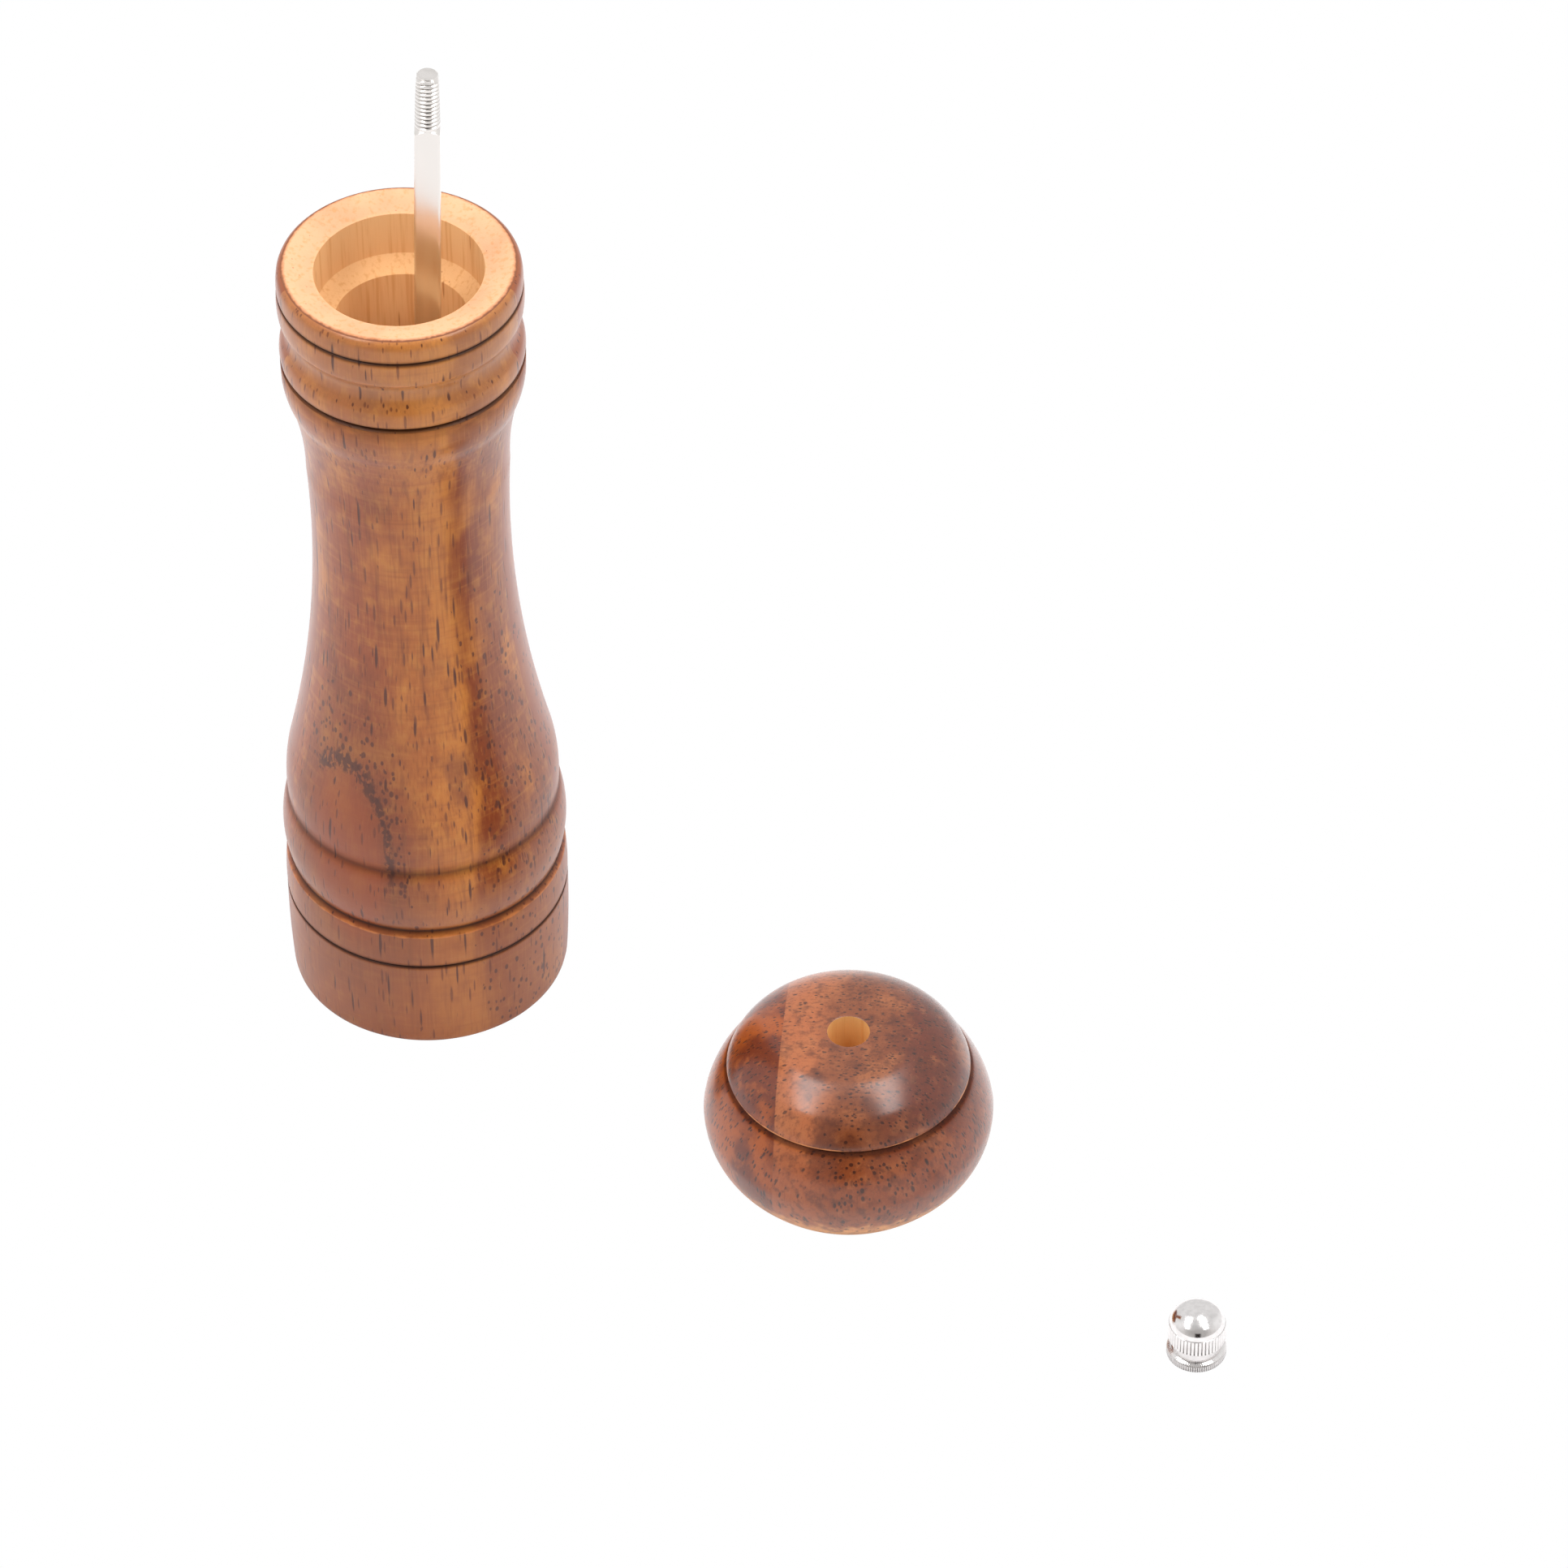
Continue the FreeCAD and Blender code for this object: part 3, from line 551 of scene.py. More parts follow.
root_radius = (THREAD_RADIUS - THREAD_DEPTH * 0.6) * MM
grooved = [float(vertex.co.z > THREAD_BOTTOM * MM and vertex.co.z < (SPINDLE_TOP - 0.5) * MM
                 and math.hypot(vertex.co.x, vertex.co.y) < root_radius)
           for vertex in spindle.data.vertices]
spindle.data.attributes.new("grooved", "FLOAT", "POINT").data.foreach_set("value", grooved)
print("points at the bottom of the thread", sum(grooved))

# %% [markdown]
# ## The lean of the spindle
#
# The square socket at its foot is loose, so the bare spindle leans until it meets the side. The
# record's hinge has its middle upright, so half of its range is the lean at rest.

# %% Lean, and the spindle's place
lean = next(joint for joint in frame["record"]["behaviour"]["joints"]
            if joint["name"] == "spindle_lean")
lean_angle = math.radians(lean["range_deg"][1] / 2)
deselect()
spindle.select_set(True)
bpy.context.view_layer.objects.active = spindle
pivot = Matrix.Translation(Vector(lean["pos_m"]))
spindle.matrix_world = pivot @ Matrix.Rotation(lean_angle, 4, "Y") @ pivot.inverted()
bpy.ops.object.transform_apply(location=True, rotation=True, scale=True)
bpy.ops.object.shade_smooth_by_angle(angle=math.radians(22))
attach(spindle, "spindle")
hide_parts("spindle")
corners = [Vector(corner) for corner in spindle.bound_box]
print("spindle faces", len(spindle.data.polygons), "box mm",
      [round(max(c[k] for c in corners) / MM, 2) for k in range(3)],
      "frame", [round(value / MM, 2) for value in SPINDLE_HIGH])

# %% [markdown]
# ## The spring
#
# A compression spring of round wire sits between two washers, and its coils close up as the
# nut draws the grinding cone upwards. It could be swept again along a helix, but the coil in the
# model is right already. So a copy of its mesh is joined up.

# %% Spring, a joined-up copy of the model's coil
spring = bpy.data.objects.new("coil_spring", bpy.data.objects["spring"].data.copy())
bpy.context.scene.collection.objects.link(spring)
deselect()
spring.select_set(True)
bpy.context.view_layer.objects.active = spring
bpy.ops.object.mode_set(mode="EDIT")
bpy.ops.mesh.select_all(action="SELECT")
bpy.ops.mesh.remove_doubles(threshold=MERGE_BELOW)
bpy.ops.object.mode_set(mode="OBJECT")
bpy.ops.object.shade_smooth_by_angle(angle=SMOOTH_ANGLE)
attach(spring, "body")
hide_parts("spring")
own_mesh(spring)

# %% [markdown]
# ## The nut
#
# One piece of brass or zinc, turned, ribbed and chromed: a thin knurled flange, a neck, a
# straight-ribbed grip and a dome. It is spun with five columns of points to each rib. Then one
# column in five is drawn in towards the axis on the grip, and one in three on the flange, which
# presses the grooves without booleans. The dome is two arcs, a tight one and a flat one on top.

# %% Sizes of the nut and arcs of its dome
NUT_HEIGHT = (NUT_HIGH.z - NUT_LOW.z) / MM
NUT_RADIUS = 6.15
NUT_FLANGE_RADIUS = 6.4
NUT_FLANGE = 1.9
NUT_NECK_RADIUS = 5.4
RIB_BOTTOM = 4.9
RIB_TOP = 8.9
NUT_RIBS = 48
NUT_BORE = 2.2
NUT_BORE_DEPTH = 10.5
COLUMNS_PER_RIB = 5
KNURL_COLUMNS = 3
RIB_EDGE = 0.22
SHOULDER_SHARE = 0.82

DOME_RADIUS = NUT_RADIUS - RIB_EDGE
dome_rise = NUT_HEIGHT - RIB_TOP - RIB_EDGE
dome_shoulder = SHOULDER_SHARE * dome_rise
inset = DOME_RADIUS - dome_shoulder
dome_crown = ((inset ** 2 + dome_rise ** 2 - dome_shoulder ** 2)
              / (2 * (dome_rise - dome_shoulder)))
arcs_meet = Vector((inset, dome_crown - dome_rise)).normalized()
print("dome rise", round(dome_rise, 2), "crown arc", round(dome_crown, 2))

# %% Nut
nut_outline = [
    (NUT_BORE, 0),
    (NUT_FLANGE_RADIUS - 0.2, 0),
    (NUT_FLANGE_RADIUS, 0.25),
    (NUT_FLANGE_RADIUS, NUT_FLANGE - 0.3),
    (NUT_FLANGE_RADIUS - 0.25, NUT_FLANGE),
    (NUT_NECK_RADIUS, NUT_FLANGE + 0.3),
    (NUT_NECK_RADIUS, RIB_BOTTOM - 0.7),
    (NUT_RADIUS - 0.12, RIB_BOTTOM - 0.05),
    (NUT_RADIUS, RIB_BOTTOM + 0.12),
    (NUT_RADIUS, RIB_TOP),
    (NUT_RADIUS - 0.1, RIB_TOP + 0.2),
    (DOME_RADIUS, RIB_TOP + RIB_EDGE, dome_shoulder),
    (DOME_RADIUS - dome_shoulder + dome_shoulder * arcs_meet.x,
     RIB_TOP + RIB_EDGE + dome_shoulder * arcs_meet.y, dome_crown),
    (0, NUT_HEIGHT),
    (0, NUT_BORE_DEPTH),
    (NUT_BORE, NUT_BORE_DEPTH - 1.2),
]
nut = turn_on_lathe("domed_nut", nut_outline, NUT_AXIS, NUT_RIBS * COLUMNS_PER_RIB, arris=0.0)


# %% Ribs and knurls pressed into the nut
def draw_in(piece, axis, columns, every, low, high, share):
    """Draws every so many columns of a turned piece in towards its axis, between two heights
    in mm, and marks their points as grooved."""
    deselect()
    piece.select_set(True)
    bpy.context.view_layer.objects.active = piece
    for face in piece.data.polygons:
        face.select = False
    for edge in piece.data.edges:
        edge.select = False
    for vertex in piece.data.vertices:
        out_x, out_y = vertex.co.x - axis[0], vertex.co.y - axis[1]
        column = round(math.atan2(out_y, out_x) / math.tau * columns) % columns
        far = math.hypot(out_x, out_y) > NUT_NECK_RADIUS * 1.05 * MM
        vertex.select = column % every == 0 and far and low < vertex.co.z / MM < high
    chosen = sum(vertex.select for vertex in piece.data.vertices)
    bpy.ops.object.mode_set(mode="EDIT")
    bpy.ops.mesh.select_mode(type="VERT")
    bpy.ops.transform.resize(value=(share, share, 1), center_override=(*axis, 0))
    bpy.ops.object.mode_set(mode="OBJECT")
    drawn = [float(vertex.select) for vertex in piece.data.vertices]
    dark = piece.data.attributes.get("grooved")
    if dark:
        before = [0.0] * len(drawn)
        dark.data.foreach_get("value", before)
        drawn = [max(pair) for pair in zip(drawn, before)]
    else:
        dark = piece.data.attributes.new("grooved", "FLOAT", "POINT")
    dark.data.foreach_set("value", drawn)
    print(piece.name, "points drawn in", chosen)


draw_in(nut, NUT_AXIS, NUT_RIBS * COLUMNS_PER_RIB, COLUMNS_PER_RIB, RIB_BOTTOM - 0.1,
        RIB_TOP + 0.1, 0.965)
draw_in(nut, NUT_AXIS, NUT_RIBS * COLUMNS_PER_RIB, KNURL_COLUMNS, 0.2,
        NUT_FLANGE - 0.2, 0.975)
bpy.ops.object.shade_smooth_by_angle(angle=math.radians(30))
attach(nut, "nut")
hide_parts("adjusting_nut")

# %% [markdown]
# ## Wood: what the finish is made of
#
# Both turned pieces are rubberwood, a pale, open-pored hardwood, dyed brown and sprayed with a
# semi-gloss lacquer. Its pores are thin tubes that run up the blank: where the surface cuts them
# lengthwise they are dashes, and where it cuts them across, as on the crown, they are dots. A
# pattern painted on the surface would need both drawn by hand. Here the pattern fills space,
# stretched along the grain, and the surface cuts through it as a gouge does.

# %% Helpers for patterns in real millimetres
def lengths_from(tree, axis):
    """Object coordinates in mm, measured from the axis of a turned piece."""
    place = node(tree, "ShaderNodeTexCoord").outputs["Object"]
    return node(tree, "ShaderNodeMapping", {
        "Vector": place, "Scale": (1 / MM, 1 / MM, 1 / MM),
        "Location": (-axis[0] / MM, -axis[1] / MM, 0)})


def pattern(tree, lengths, size, kind="ShaderNodeTexNoise", detail=2.0, **settings):
    """A noise or cell texture whose features are about size mm along x, y and z."""
    scaled = node(tree, "ShaderNodeMapping",
                  {"Vector": lengths, "Scale": tuple(1 / length for length in size)})
    return node(tree, kind, {"Vector": scaled, "Scale": 1.0, "Detail": detail}, **settings)


def layer(tree, under, over, value, low, high, most=1.0):
    """Lays the colour over on top of the colour under, as value goes from low to high."""
    share = node(tree, "ShaderNodeMapRange", {
        "Value": value, "From Min": low, "From Max": high, "To Min": 0.0, "To Max": most},
        interpolation_type="SMOOTHSTEP")
    return node(tree, "ShaderNodeMix", {0: share, 6: under, 7: over}, data_type="RGBA")


def pores(tree, lengths, size, widest, crowd):
    """1 inside a pore and 0 outside. Each cell of the given size holds one pore or none, and
    crowd, from 0 to 1, says how many do. widest is a share of the cell."""
    cell = pattern(tree, lengths, size, "ShaderNodeTexVoronoi", 0.0, feature="F1")
    chance = node(tree, "ShaderNodeSeparateColor", {"Color": cell.outputs["Color"]})
    there = node(tree, "ShaderNodeMath", {0: chance, 1: crowd}, operation="LESS_THAN")
    reach = node(tree, "ShaderNodeMath", {0: chance.outputs["Green"], 1: widest * 0.6,
                 2: widest * 0.4}, operation="MULTIPLY_ADD")
    inside = node(tree, "ShaderNodeMath", {0: cell, 1: reach}, operation="DIVIDE")
    open_pore = node(tree, "ShaderNodeMapRange", {"Value": inside, "From Min": 1.0,
                     "From Max": 0.55, "To Min": 0.0, "To Max": 1.0})
    return node(tree, "ShaderNodeMath", {0: open_pore, 1: there}, operation="MULTIPLY")


def bumpy_shader(material, colour, height, depth, roughness, **sockets):
    """Links a colour and a height of depth mm to the material's shader, and sets the rest."""
    tree = material.node_tree
    shader = tree.nodes["Principled BSDF"]
    tree.links.new(next(out for out in colour.outputs if out.enabled),
                   shader.inputs["Base Color"])
    relief = node(tree, "ShaderNodeBump", {"Height": height, "Distance": depth * MM,
                                          "Strength": 1.0})
    tree.links.new(relief.outputs["Normal"], shader.inputs["Normal"])
    shader.inputs["Roughness"].default_value = roughness
    for socket, value in sockets.items():
        shader.inputs[socket.replace("_", " ")].default_value = value


def lacquer(material, weight, stain_and_groove_shade):
    """A clear coat of a given weight that does not shine in the burnt grooves."""
    tree = material.node_tree
    share = node(tree, "ShaderNodeMapRange", {"Value": stain_and_groove_shade, "From Min": 0.0,
                 "From Max": 0.5, "To Min": weight, "To Max": 0.0})
    shader = tree.nodes["Principled BSDF"]
    tree.links.new(share.outputs["Result"], shader.inputs["Coat Weight"])


def new_material(name):
    """A new node material and its tree."""
    material = bpy.data.materials.new(name)
    material.use_nodes = True
    return material, material.node_tree


RELIEF_DEPTH = 0.05
WOOD_ROUGHNESS = 0.42
print("wood relief mm", RELIEF_DEPTH, "roughness", WOOD_ROUGHNESS)

# %% [markdown]
# ## Burnt lines, painted shade in the grooves, and pale edges
#
# Dye pools in grooves and corners and turns them nearly black, and the burnt lines are black
# already; the darkening there is also painted shade, for the shade that falls into them. On
# proud edges the finish is thin, so they show pale, and at the lower edge of the foot that pale
# line is also a painted highlight, the floor's light caught by the chamfer. Both follow the
# turned outline, so they are written into the mesh as two numbers per point, from its height on
# the lathe.
# Shading by ambient occlusion could find the grooves too, but it costs time and is less exact.

# %% Burnt lines and painted shade in grooves, and worn edges with a painted highlight, as attributes of the mesh
def mark_heights(piece, name, heights, inner=0.0, axis=(0.0, 0.0)):
    """Writes a strength at each (height, reach, strength) in mm, falling to 0 at its reach,
    on points outside a radius."""
    amounts = []
    for vertex in piece.data.vertices:
        level = vertex.co.z / MM
        far = math.hypot(vertex.co.x - axis[0], vertex.co.y - axis[1]) / MM
        near = max(most * (1 - abs(level - height) / reach) for height, reach, most in heights)
        amounts.append(max(0.0, near) if far > inner else 0.0)
    attribute = piece.data.attributes.new(name, "FLOAT", "POINT")
    attribute.data.foreach_set("value", amounts)
    print(piece.name, name, "points marked", sum(amount > 0 for amount in amounts))


# The burnt lines' own black, with painted shade in them and in the corners of the bead, widest
# above the bead.
mark_heights(body, "stain_and_groove_shade", [
    (LOW_LINE, 1.2, 1.0), (BEAD_BOTTOM + 0.1, 1.3, 0.9), (BEAD_TOP, 3.0, 0.62),
    (HIGH_GROOVE, 1.5, 1.0), (RIM_LINE, 1.2, 1.0)], inner=RIM_INNER - 3)
# Pale worn edges; at the foot's lower edge, height 0, the pale line is also a painted highlight
# of the floor's light.
mark_heights(body, "wear_and_sheen", [
    (HIGH_GROOVE - 0.75, 0.5, 1.0), (BEAD_BOTTOM - 1.2, 0.7, 1.0), (RIM_LINE - 6, 1.6, 0.8),
    (0, 0.8, 1.0), (HIGH_GROOVE + 0.9, 0.5, 0.8)], inner=NECK_RADIUS)
# Painted shadow in the small step under the head's ledge.
mark_heights(head, "stain_and_groove_shade", [(LEDGE_HEIGHT - 0.75, 1.2, 0.9)], TENON_RADIUS, HEAD_AXIS)
mark_heights(head, "wear_and_sheen", [(LEDGE_HEIGHT + 0.1, 0.8, 1.0)], TENON_RADIUS, HEAD_AXIS)

# %% [markdown]
# ## Stained rubberwood of the body
#
# The board's growth layers cross the blank nearly flat, so their colours show as upright bands:
# reddish brown on the left, a golden stripe in front, a dark one to its right. Each band is one
# colour laid over the last where the distance across the board passes a limit, and a slow noise
# bends the limits. Over them come cloudy dye, faint cross ripple, fine fibre, the pores, and on
# the lower left a small knot with its dark rim and the flecks that run up from it.

# %% Growth layers of the body's wood
stained_wood, tree = new_material("stained_lacquered_rubberwood")
lengths = lengths_from(tree, (0.0, 0.0))
place = node(tree, "ShaderNodeSeparateXYZ", {"Vector": lengths})
FRONT_DEPTH = 26.0
BAND_TILT = 0.35
BAND_SWAY = 17.0

bend = pattern(tree, lengths, (7, 7, 22), detail=4.0)
sway = node(tree, "ShaderNodeMath", {0: bend, 1: BAND_SWAY, 2: -BAND_SWAY / 2},
            operation="MULTIPLY_ADD")
tilted = node(tree, "ShaderNodeMath", {0: place.outputs["Y"], 1: BAND_TILT,
              2: BAND_TILT * FRONT_DEPTH}, operation="MULTIPLY_ADD")
board = node(tree, "ShaderNodeMath", {0: place.outputs["X"], 1: tilted}, operation="ADD")
board = node(tree, "ShaderNodeMath", {0: board, 1: sway}, operation="ADD")
print("nodes that place the bands", len(tree.nodes))

# %% Bands, cloudy dye, ripple and fibre
cloud = pattern(tree, lengths, (11, 11, 22), detail=4.0)
patch = pattern(tree, lengths, (3.2, 3.2, 4.2), detail=4.0)
ripple = pattern(tree, lengths, (14, 14, 1.3), detail=2.0)
fibre = pattern(tree, lengths, (0.5, 0.5, 11), detail=3.0)
streak = pattern(tree, lengths, (1.5, 1.5, 36), detail=3.0)

colour = layer(tree, paint("#94481D"), paint("#AC601E"), board, -8, 4)
colour = layer(tree, colour, paint("#BB6F25"), board, 3, 9)
colour = layer(tree, colour, paint("#7E370F"), board, 9.5, 15)
colour = layer(tree, colour, paint("#894721"), board, 16, 23)
colour = layer(tree, colour, paint("#BC7229"), cloud, 0.50, 0.68, 0.70)
colour = layer(tree, colour, paint("#783818"), cloud, 0.48, 0.30, 0.70)
colour = layer(tree, colour, paint("#7A330F"), patch, 0.50, 0.72, 0.32)
colour = layer(tree, colour, paint("#C88533"), patch, 0.48, 0.28, 0.26)
colour = layer(tree, colour, paint("#C68135"), ripple, 0.52, 0.74, 0.20)
colour = layer(tree, colour, paint("#74310F"), ripple, 0.48, 0.26, 0.24)
colour = layer(tree, colour, paint("#662A0D"), fibre, 0.50, 0.74, 0.36)
colour = layer(tree, colour, paint("#C37F37"), fibre, 0.46, 0.28, 0.25)
colour = layer(tree, colour, paint("#703310"), streak, 0.54, 0.72, 0.45)

# the collar at the top is a little paler, and the foot a little browner
colour = layer(tree, colour, paint("#C98D52"), place.outputs["Z"], 160, 186, 0.32)
colour = layer(tree, colour, paint("#965427"), place.outputs["Z"], 52, 34, 0.5)
print("nodes with the dye", len(tree.nodes))

# %% [markdown]
# ## The knot
#
# A small branch grew here, and the grain runs round it. It is an upright oval: the distance from
# its middle is measured in shares of its size, made uneven by a noise, and the rim is where that
# distance is near one. Only the upper and right part of the rim is dark, and it is crumbly.

# %% Knot
KNOT_PLACE = (-15.5, 52.0)
KNOT_SIZE = (9.0, 25.0)
knot = node(tree, "ShaderNodeMapping", {
    "Vector": lengths, "Scale": (1 / KNOT_SIZE[0], 0.0, 1 / KNOT_SIZE[1]),
    "Location": (-KNOT_PLACE[0] / KNOT_SIZE[0], 0.0, -KNOT_PLACE[1] / KNOT_SIZE[1])})
ragged = pattern(tree, lengths, (2.2, 2.2, 3.0), detail=3.0)
from_knot = node(tree, "ShaderNodeVectorMath", {0: knot}, operation="LENGTH")
from_knot = node(tree, "ShaderNodeMath", {0: ragged, 1: 0.22, 2: from_knot.outputs["Value"]},
                 operation="MULTIPLY_ADD")
in_front = node(tree, "ShaderNodeMapRange", {"Value": place.outputs["Y"], "From Min": -8.0,
                "From Max": -14.0, "To Min": 0.0, "To Max": 1.0})
knot_axes = node(tree, "ShaderNodeSeparateXYZ", {"Vector": knot})
upper_right = node(tree, "ShaderNodeMath", {0: knot_axes.outputs["X"], 1: 0.6,
                   2: knot_axes.outputs["Z"]}, operation="MULTIPLY_ADD")
rim_there = node(tree, "ShaderNodeMapRange", {"Value": upper_right, "From Min": 0.25,
                 "From Max": 0.6, "To Min": 0.0, "To Max": 1.0})
rim_there = node(tree, "ShaderNodeMath", {0: rim_there, 1: in_front}, operation="MULTIPLY")
from_rim = node(tree, "ShaderNodeMath", {0: from_knot, 1: 1.13}, operation="SUBTRACT")
from_rim = node(tree, "ShaderNodeMath", {0: from_rim}, operation="ABSOLUTE")
rim = node(tree, "ShaderNodeMapRange", {"Value": from_rim, "From Min": 0.17,
           "From Max": 0.04, "To Min": 0.0, "To Max": 1.0})
rim = node(tree, "ShaderNodeMath", {0: rim, 1: rim_there}, operation="MULTIPLY")
crumb = pattern(tree, lengths, (1.1, 1.1, 1.6), detail=4.0)
crumbs = node(tree, "ShaderNodeMapRange", {"Value": crumb, "From Min": 0.36, "From Max": 0.52,
              "To Min": 0.0, "To Max": 1.0})
rim = node(tree, "ShaderNodeMath", {0: rim, 1: crumbs}, operation="MULTIPLY")
heart = node(tree, "ShaderNodeMath", {0: from_knot, 1: in_front}, operation="DIVIDE")
colour = layer(tree, colour, paint("#68341A"), heart, 2.6, 1.2, 0.42)
colour = layer(tree, colour, paint("#8F4017"), heart, 1.25, 0.75, 0.6)
colour = layer(tree, colour, paint("#481E0E"), rim, 0.2, 0.9, 0.85)
print("knot mm", KNOT_SIZE, "at", KNOT_PLACE)

# %% Flecks above the knot and in the dark stripe
above = node(tree, "ShaderNodeMapRange", {"Value": from_knot, "From Min": 1.9,
             "From Max": 1.3, "To Min": 0.0, "To Max": 1.3})
above = node(tree, "ShaderNodeMath", {0: above, 1: rim_there}, operation="MULTIPLY")
outside = node(tree, "ShaderNodeMath", {0: from_knot, 1: 1.08}, operation="GREATER_THAN")
above = node(tree, "ShaderNodeMath", {0: above, 1: outside}, operation="MULTIPLY")
in_stripe = node(tree, "ShaderNodeMapRange", {"Value": board, "From Min": 11.0,
                 "From Max": 14.0, "To Min": 0.0, "To Max": 0.55})
low_down = node(tree, "ShaderNodeMapRange", {"Value": place.outputs["Z"], "From Min": 125.0,
                "From Max": 100.0, "To Min": 0.0, "To Max": 1.0})
in_stripe = node(tree, "ShaderNodeMath", {0: in_stripe, 1: low_down}, operation="MULTIPLY")
crowd = node(tree, "ShaderNodeMath", {0: above, 1: in_stripe}, operation="MAXIMUM")
fleck = pores(tree, lengths, (1.25, 1.25, 2.2), 0.55, crowd)
colour = layer(tree, colour, paint("#4A1E10"), fleck, 0.1, 1.0, 0.8)
print("nodes with the flecks", len(tree.nodes))

# %% Pores: short dashes, crowded where the dye is dark, and long ones
thick = node(tree, "ShaderNodeMapRange", {"Value": cloud, "From Min": 0.35, "From Max": 0.65,
             "To Min": 0.85, "To Max": 0.35})
short_pore = pores(tree, lengths, (0.95, 0.95, 8.0), 0.42, thick)
long_pore = pores(tree, lengths, (1.7, 1.7, 24.0), 0.28, 0.62)
colour = layer(tree, colour, paint("#5A240E"), short_pore, 0.0, 1.0, 0.62)
colour = layer(tree, colour, paint("#461A0A"), long_pore, 0.0, 1.0, 0.85)
print("nodes with the pores", len(tree.nodes))

# %% Burnt lines and painted groove shade, worn edges and painted sheen, relief and lacquer of the body
stain_and_groove_shade = node(tree, "ShaderNodeAttribute", attribute_name="stain_and_groove_shade").outputs["Fac"]
wear_and_sheen = node(tree, "ShaderNodeAttribute", attribute_name="wear_and_sheen").outputs["Fac"]
broken = pattern(tree, lengths, (3.0, 3.0, 2.0), detail=3.0)
wear_and_sheen = node(tree, "ShaderNodeMath", {0: wear_and_sheen, 1: broken}, operation="MULTIPLY")
# Pale worn edges, with a painted highlight along the foot's lower edge.
colour = layer(tree, colour, paint("#CD7A3A"), wear_and_sheen, 0.28, 0.55, 0.6)
# Painted shade in the grooves and the bead's corners, over the burnt lines' own black.
colour = layer(tree, colour, paint("#270C04"), stain_and_groove_shade, 0.15, 0.95, 0.93)

open_grain = node(tree, "ShaderNodeMath", {0: short_pore, 1: long_pore}, operation="MAXIMUM")
height = node(tree, "ShaderNodeMath", {0: open_grain, 1: -0.6, 2: 0.8},
              operation="MULTIPLY_ADD")
height = node(tree, "ShaderNodeMath", {0: fibre, 1: 0.12, 2: height}, operation="MULTIPLY_ADD")
bumpy_shader(stained_wood, colour, height, RELIEF_DEPTH, WOOD_ROUGHNESS,
             Specular_IOR_Level=0.2, Coat_Roughness=0.24)
lacquer(stained_wood, 0.55, stain_and_groove_shade)
print(stained_wood.name, "nodes", len(tree.nodes))

# %% [markdown]
# ## Stained rubberwood of the head
#
# The head is glued up from two boards, and the joint shows as an upright line left of the
# centre: full of pores on one side, plain and golden just past it, dark red-brown further on.
# The same layers make it, with other limits. It took more stain than the body, because its
# crown is end grain, which drinks the dye.

# %% Two boards of the head
head_wood, tree = new_material("stained_lacquered_rubberwood_end_grain")
lengths = lengths_from(tree, HEAD_AXIS)
place = node(tree, "ShaderNodeSeparateXYZ", {"Vector": lengths})
GLUE_LINE = -14.2
GLUE_TILT = 0.09
HEAD_SWAY = 10.0

bend = pattern(tree, lengths, (9, 9, 20), detail=3.0)
sway = node(tree, "ShaderNodeMath", {0: bend, 1: HEAD_SWAY, 2: -HEAD_SWAY / 2},
            operation="MULTIPLY_ADD")
board = node(tree, "ShaderNodeMath", {0: place.outputs["Y"], 1: -GLUE_TILT,
             2: place.outputs["X"]}, operation="MULTIPLY_ADD")
right_board = node(tree, "ShaderNodeMath", {0: board, 1: sway}, operation="ADD")
print("nodes that place the boards", len(tree.nodes))

# %% Dye, mottle and pale foot of the head
cloud = pattern(tree, lengths, (11, 11, 14), detail=3.0)
patch = pattern(tree, lengths, (2.8, 2.8, 3.2), detail=4.0)
fibre = pattern(tree, lengths, (0.5, 0.5, 9), detail=3.0)
grit = pattern(tree, lengths, (0.35, 0.35, 0.35), detail=1.0)
mottle = pattern(tree, lengths, (1.3, 0.8, 1.6), detail=4.0)
colour = layer(tree, paint("#A45A30"), paint("#7C401F"), right_board, -8, -1)
colour = layer(tree, colour, paint("#602611"), right_board, 6, 16)
colour = layer(tree, colour, paint("#A9653A"), cloud, 0.52, 0.68, 0.45)
colour = layer(tree, colour, paint("#572612"), cloud, 0.48, 0.34, 0.75)
colour = layer(tree, colour, paint("#8C3F12"), place.outputs["Z"], 36, 27, 0.6)
colour = layer(tree, colour, paint("#4C1E0D"), patch, 0.50, 0.74, 0.62)
colour = layer(tree, colour, paint("#A9653A"), patch, 0.46, 0.26, 0.30)
colour = layer(tree, colour, paint("#47200F"), mottle, 0.48, 0.70, 0.50)
left_board = layer(tree, paint("#984812"), paint("#64260B"), cloud, 0.42, 0.60)
left_board = layer(tree, left_board, paint("#9C4D17"), patch, 0.55, 0.70, 0.5)
colour = layer(tree, left_board, colour, board, GLUE_LINE - 0.15, GLUE_LINE + 0.15)
pale_foot = node(tree, "ShaderNodeMath", {0: patch, 1: 9.0, 2: place.outputs["Z"]},
                 operation="MULTIPLY_ADD")
colour = layer(tree, colour, paint("#E8A05A"), pale_foot, 20.5, 14.0, 0.95)
colour = layer(tree, colour, paint("#4F1E0B"), fibre, 0.52, 0.76, 0.35)
colour = layer(tree, colour, paint("#AB6530"), grit, 0.62, 0.80, 0.30)
print("nodes with the dye", len(tree.nodes))

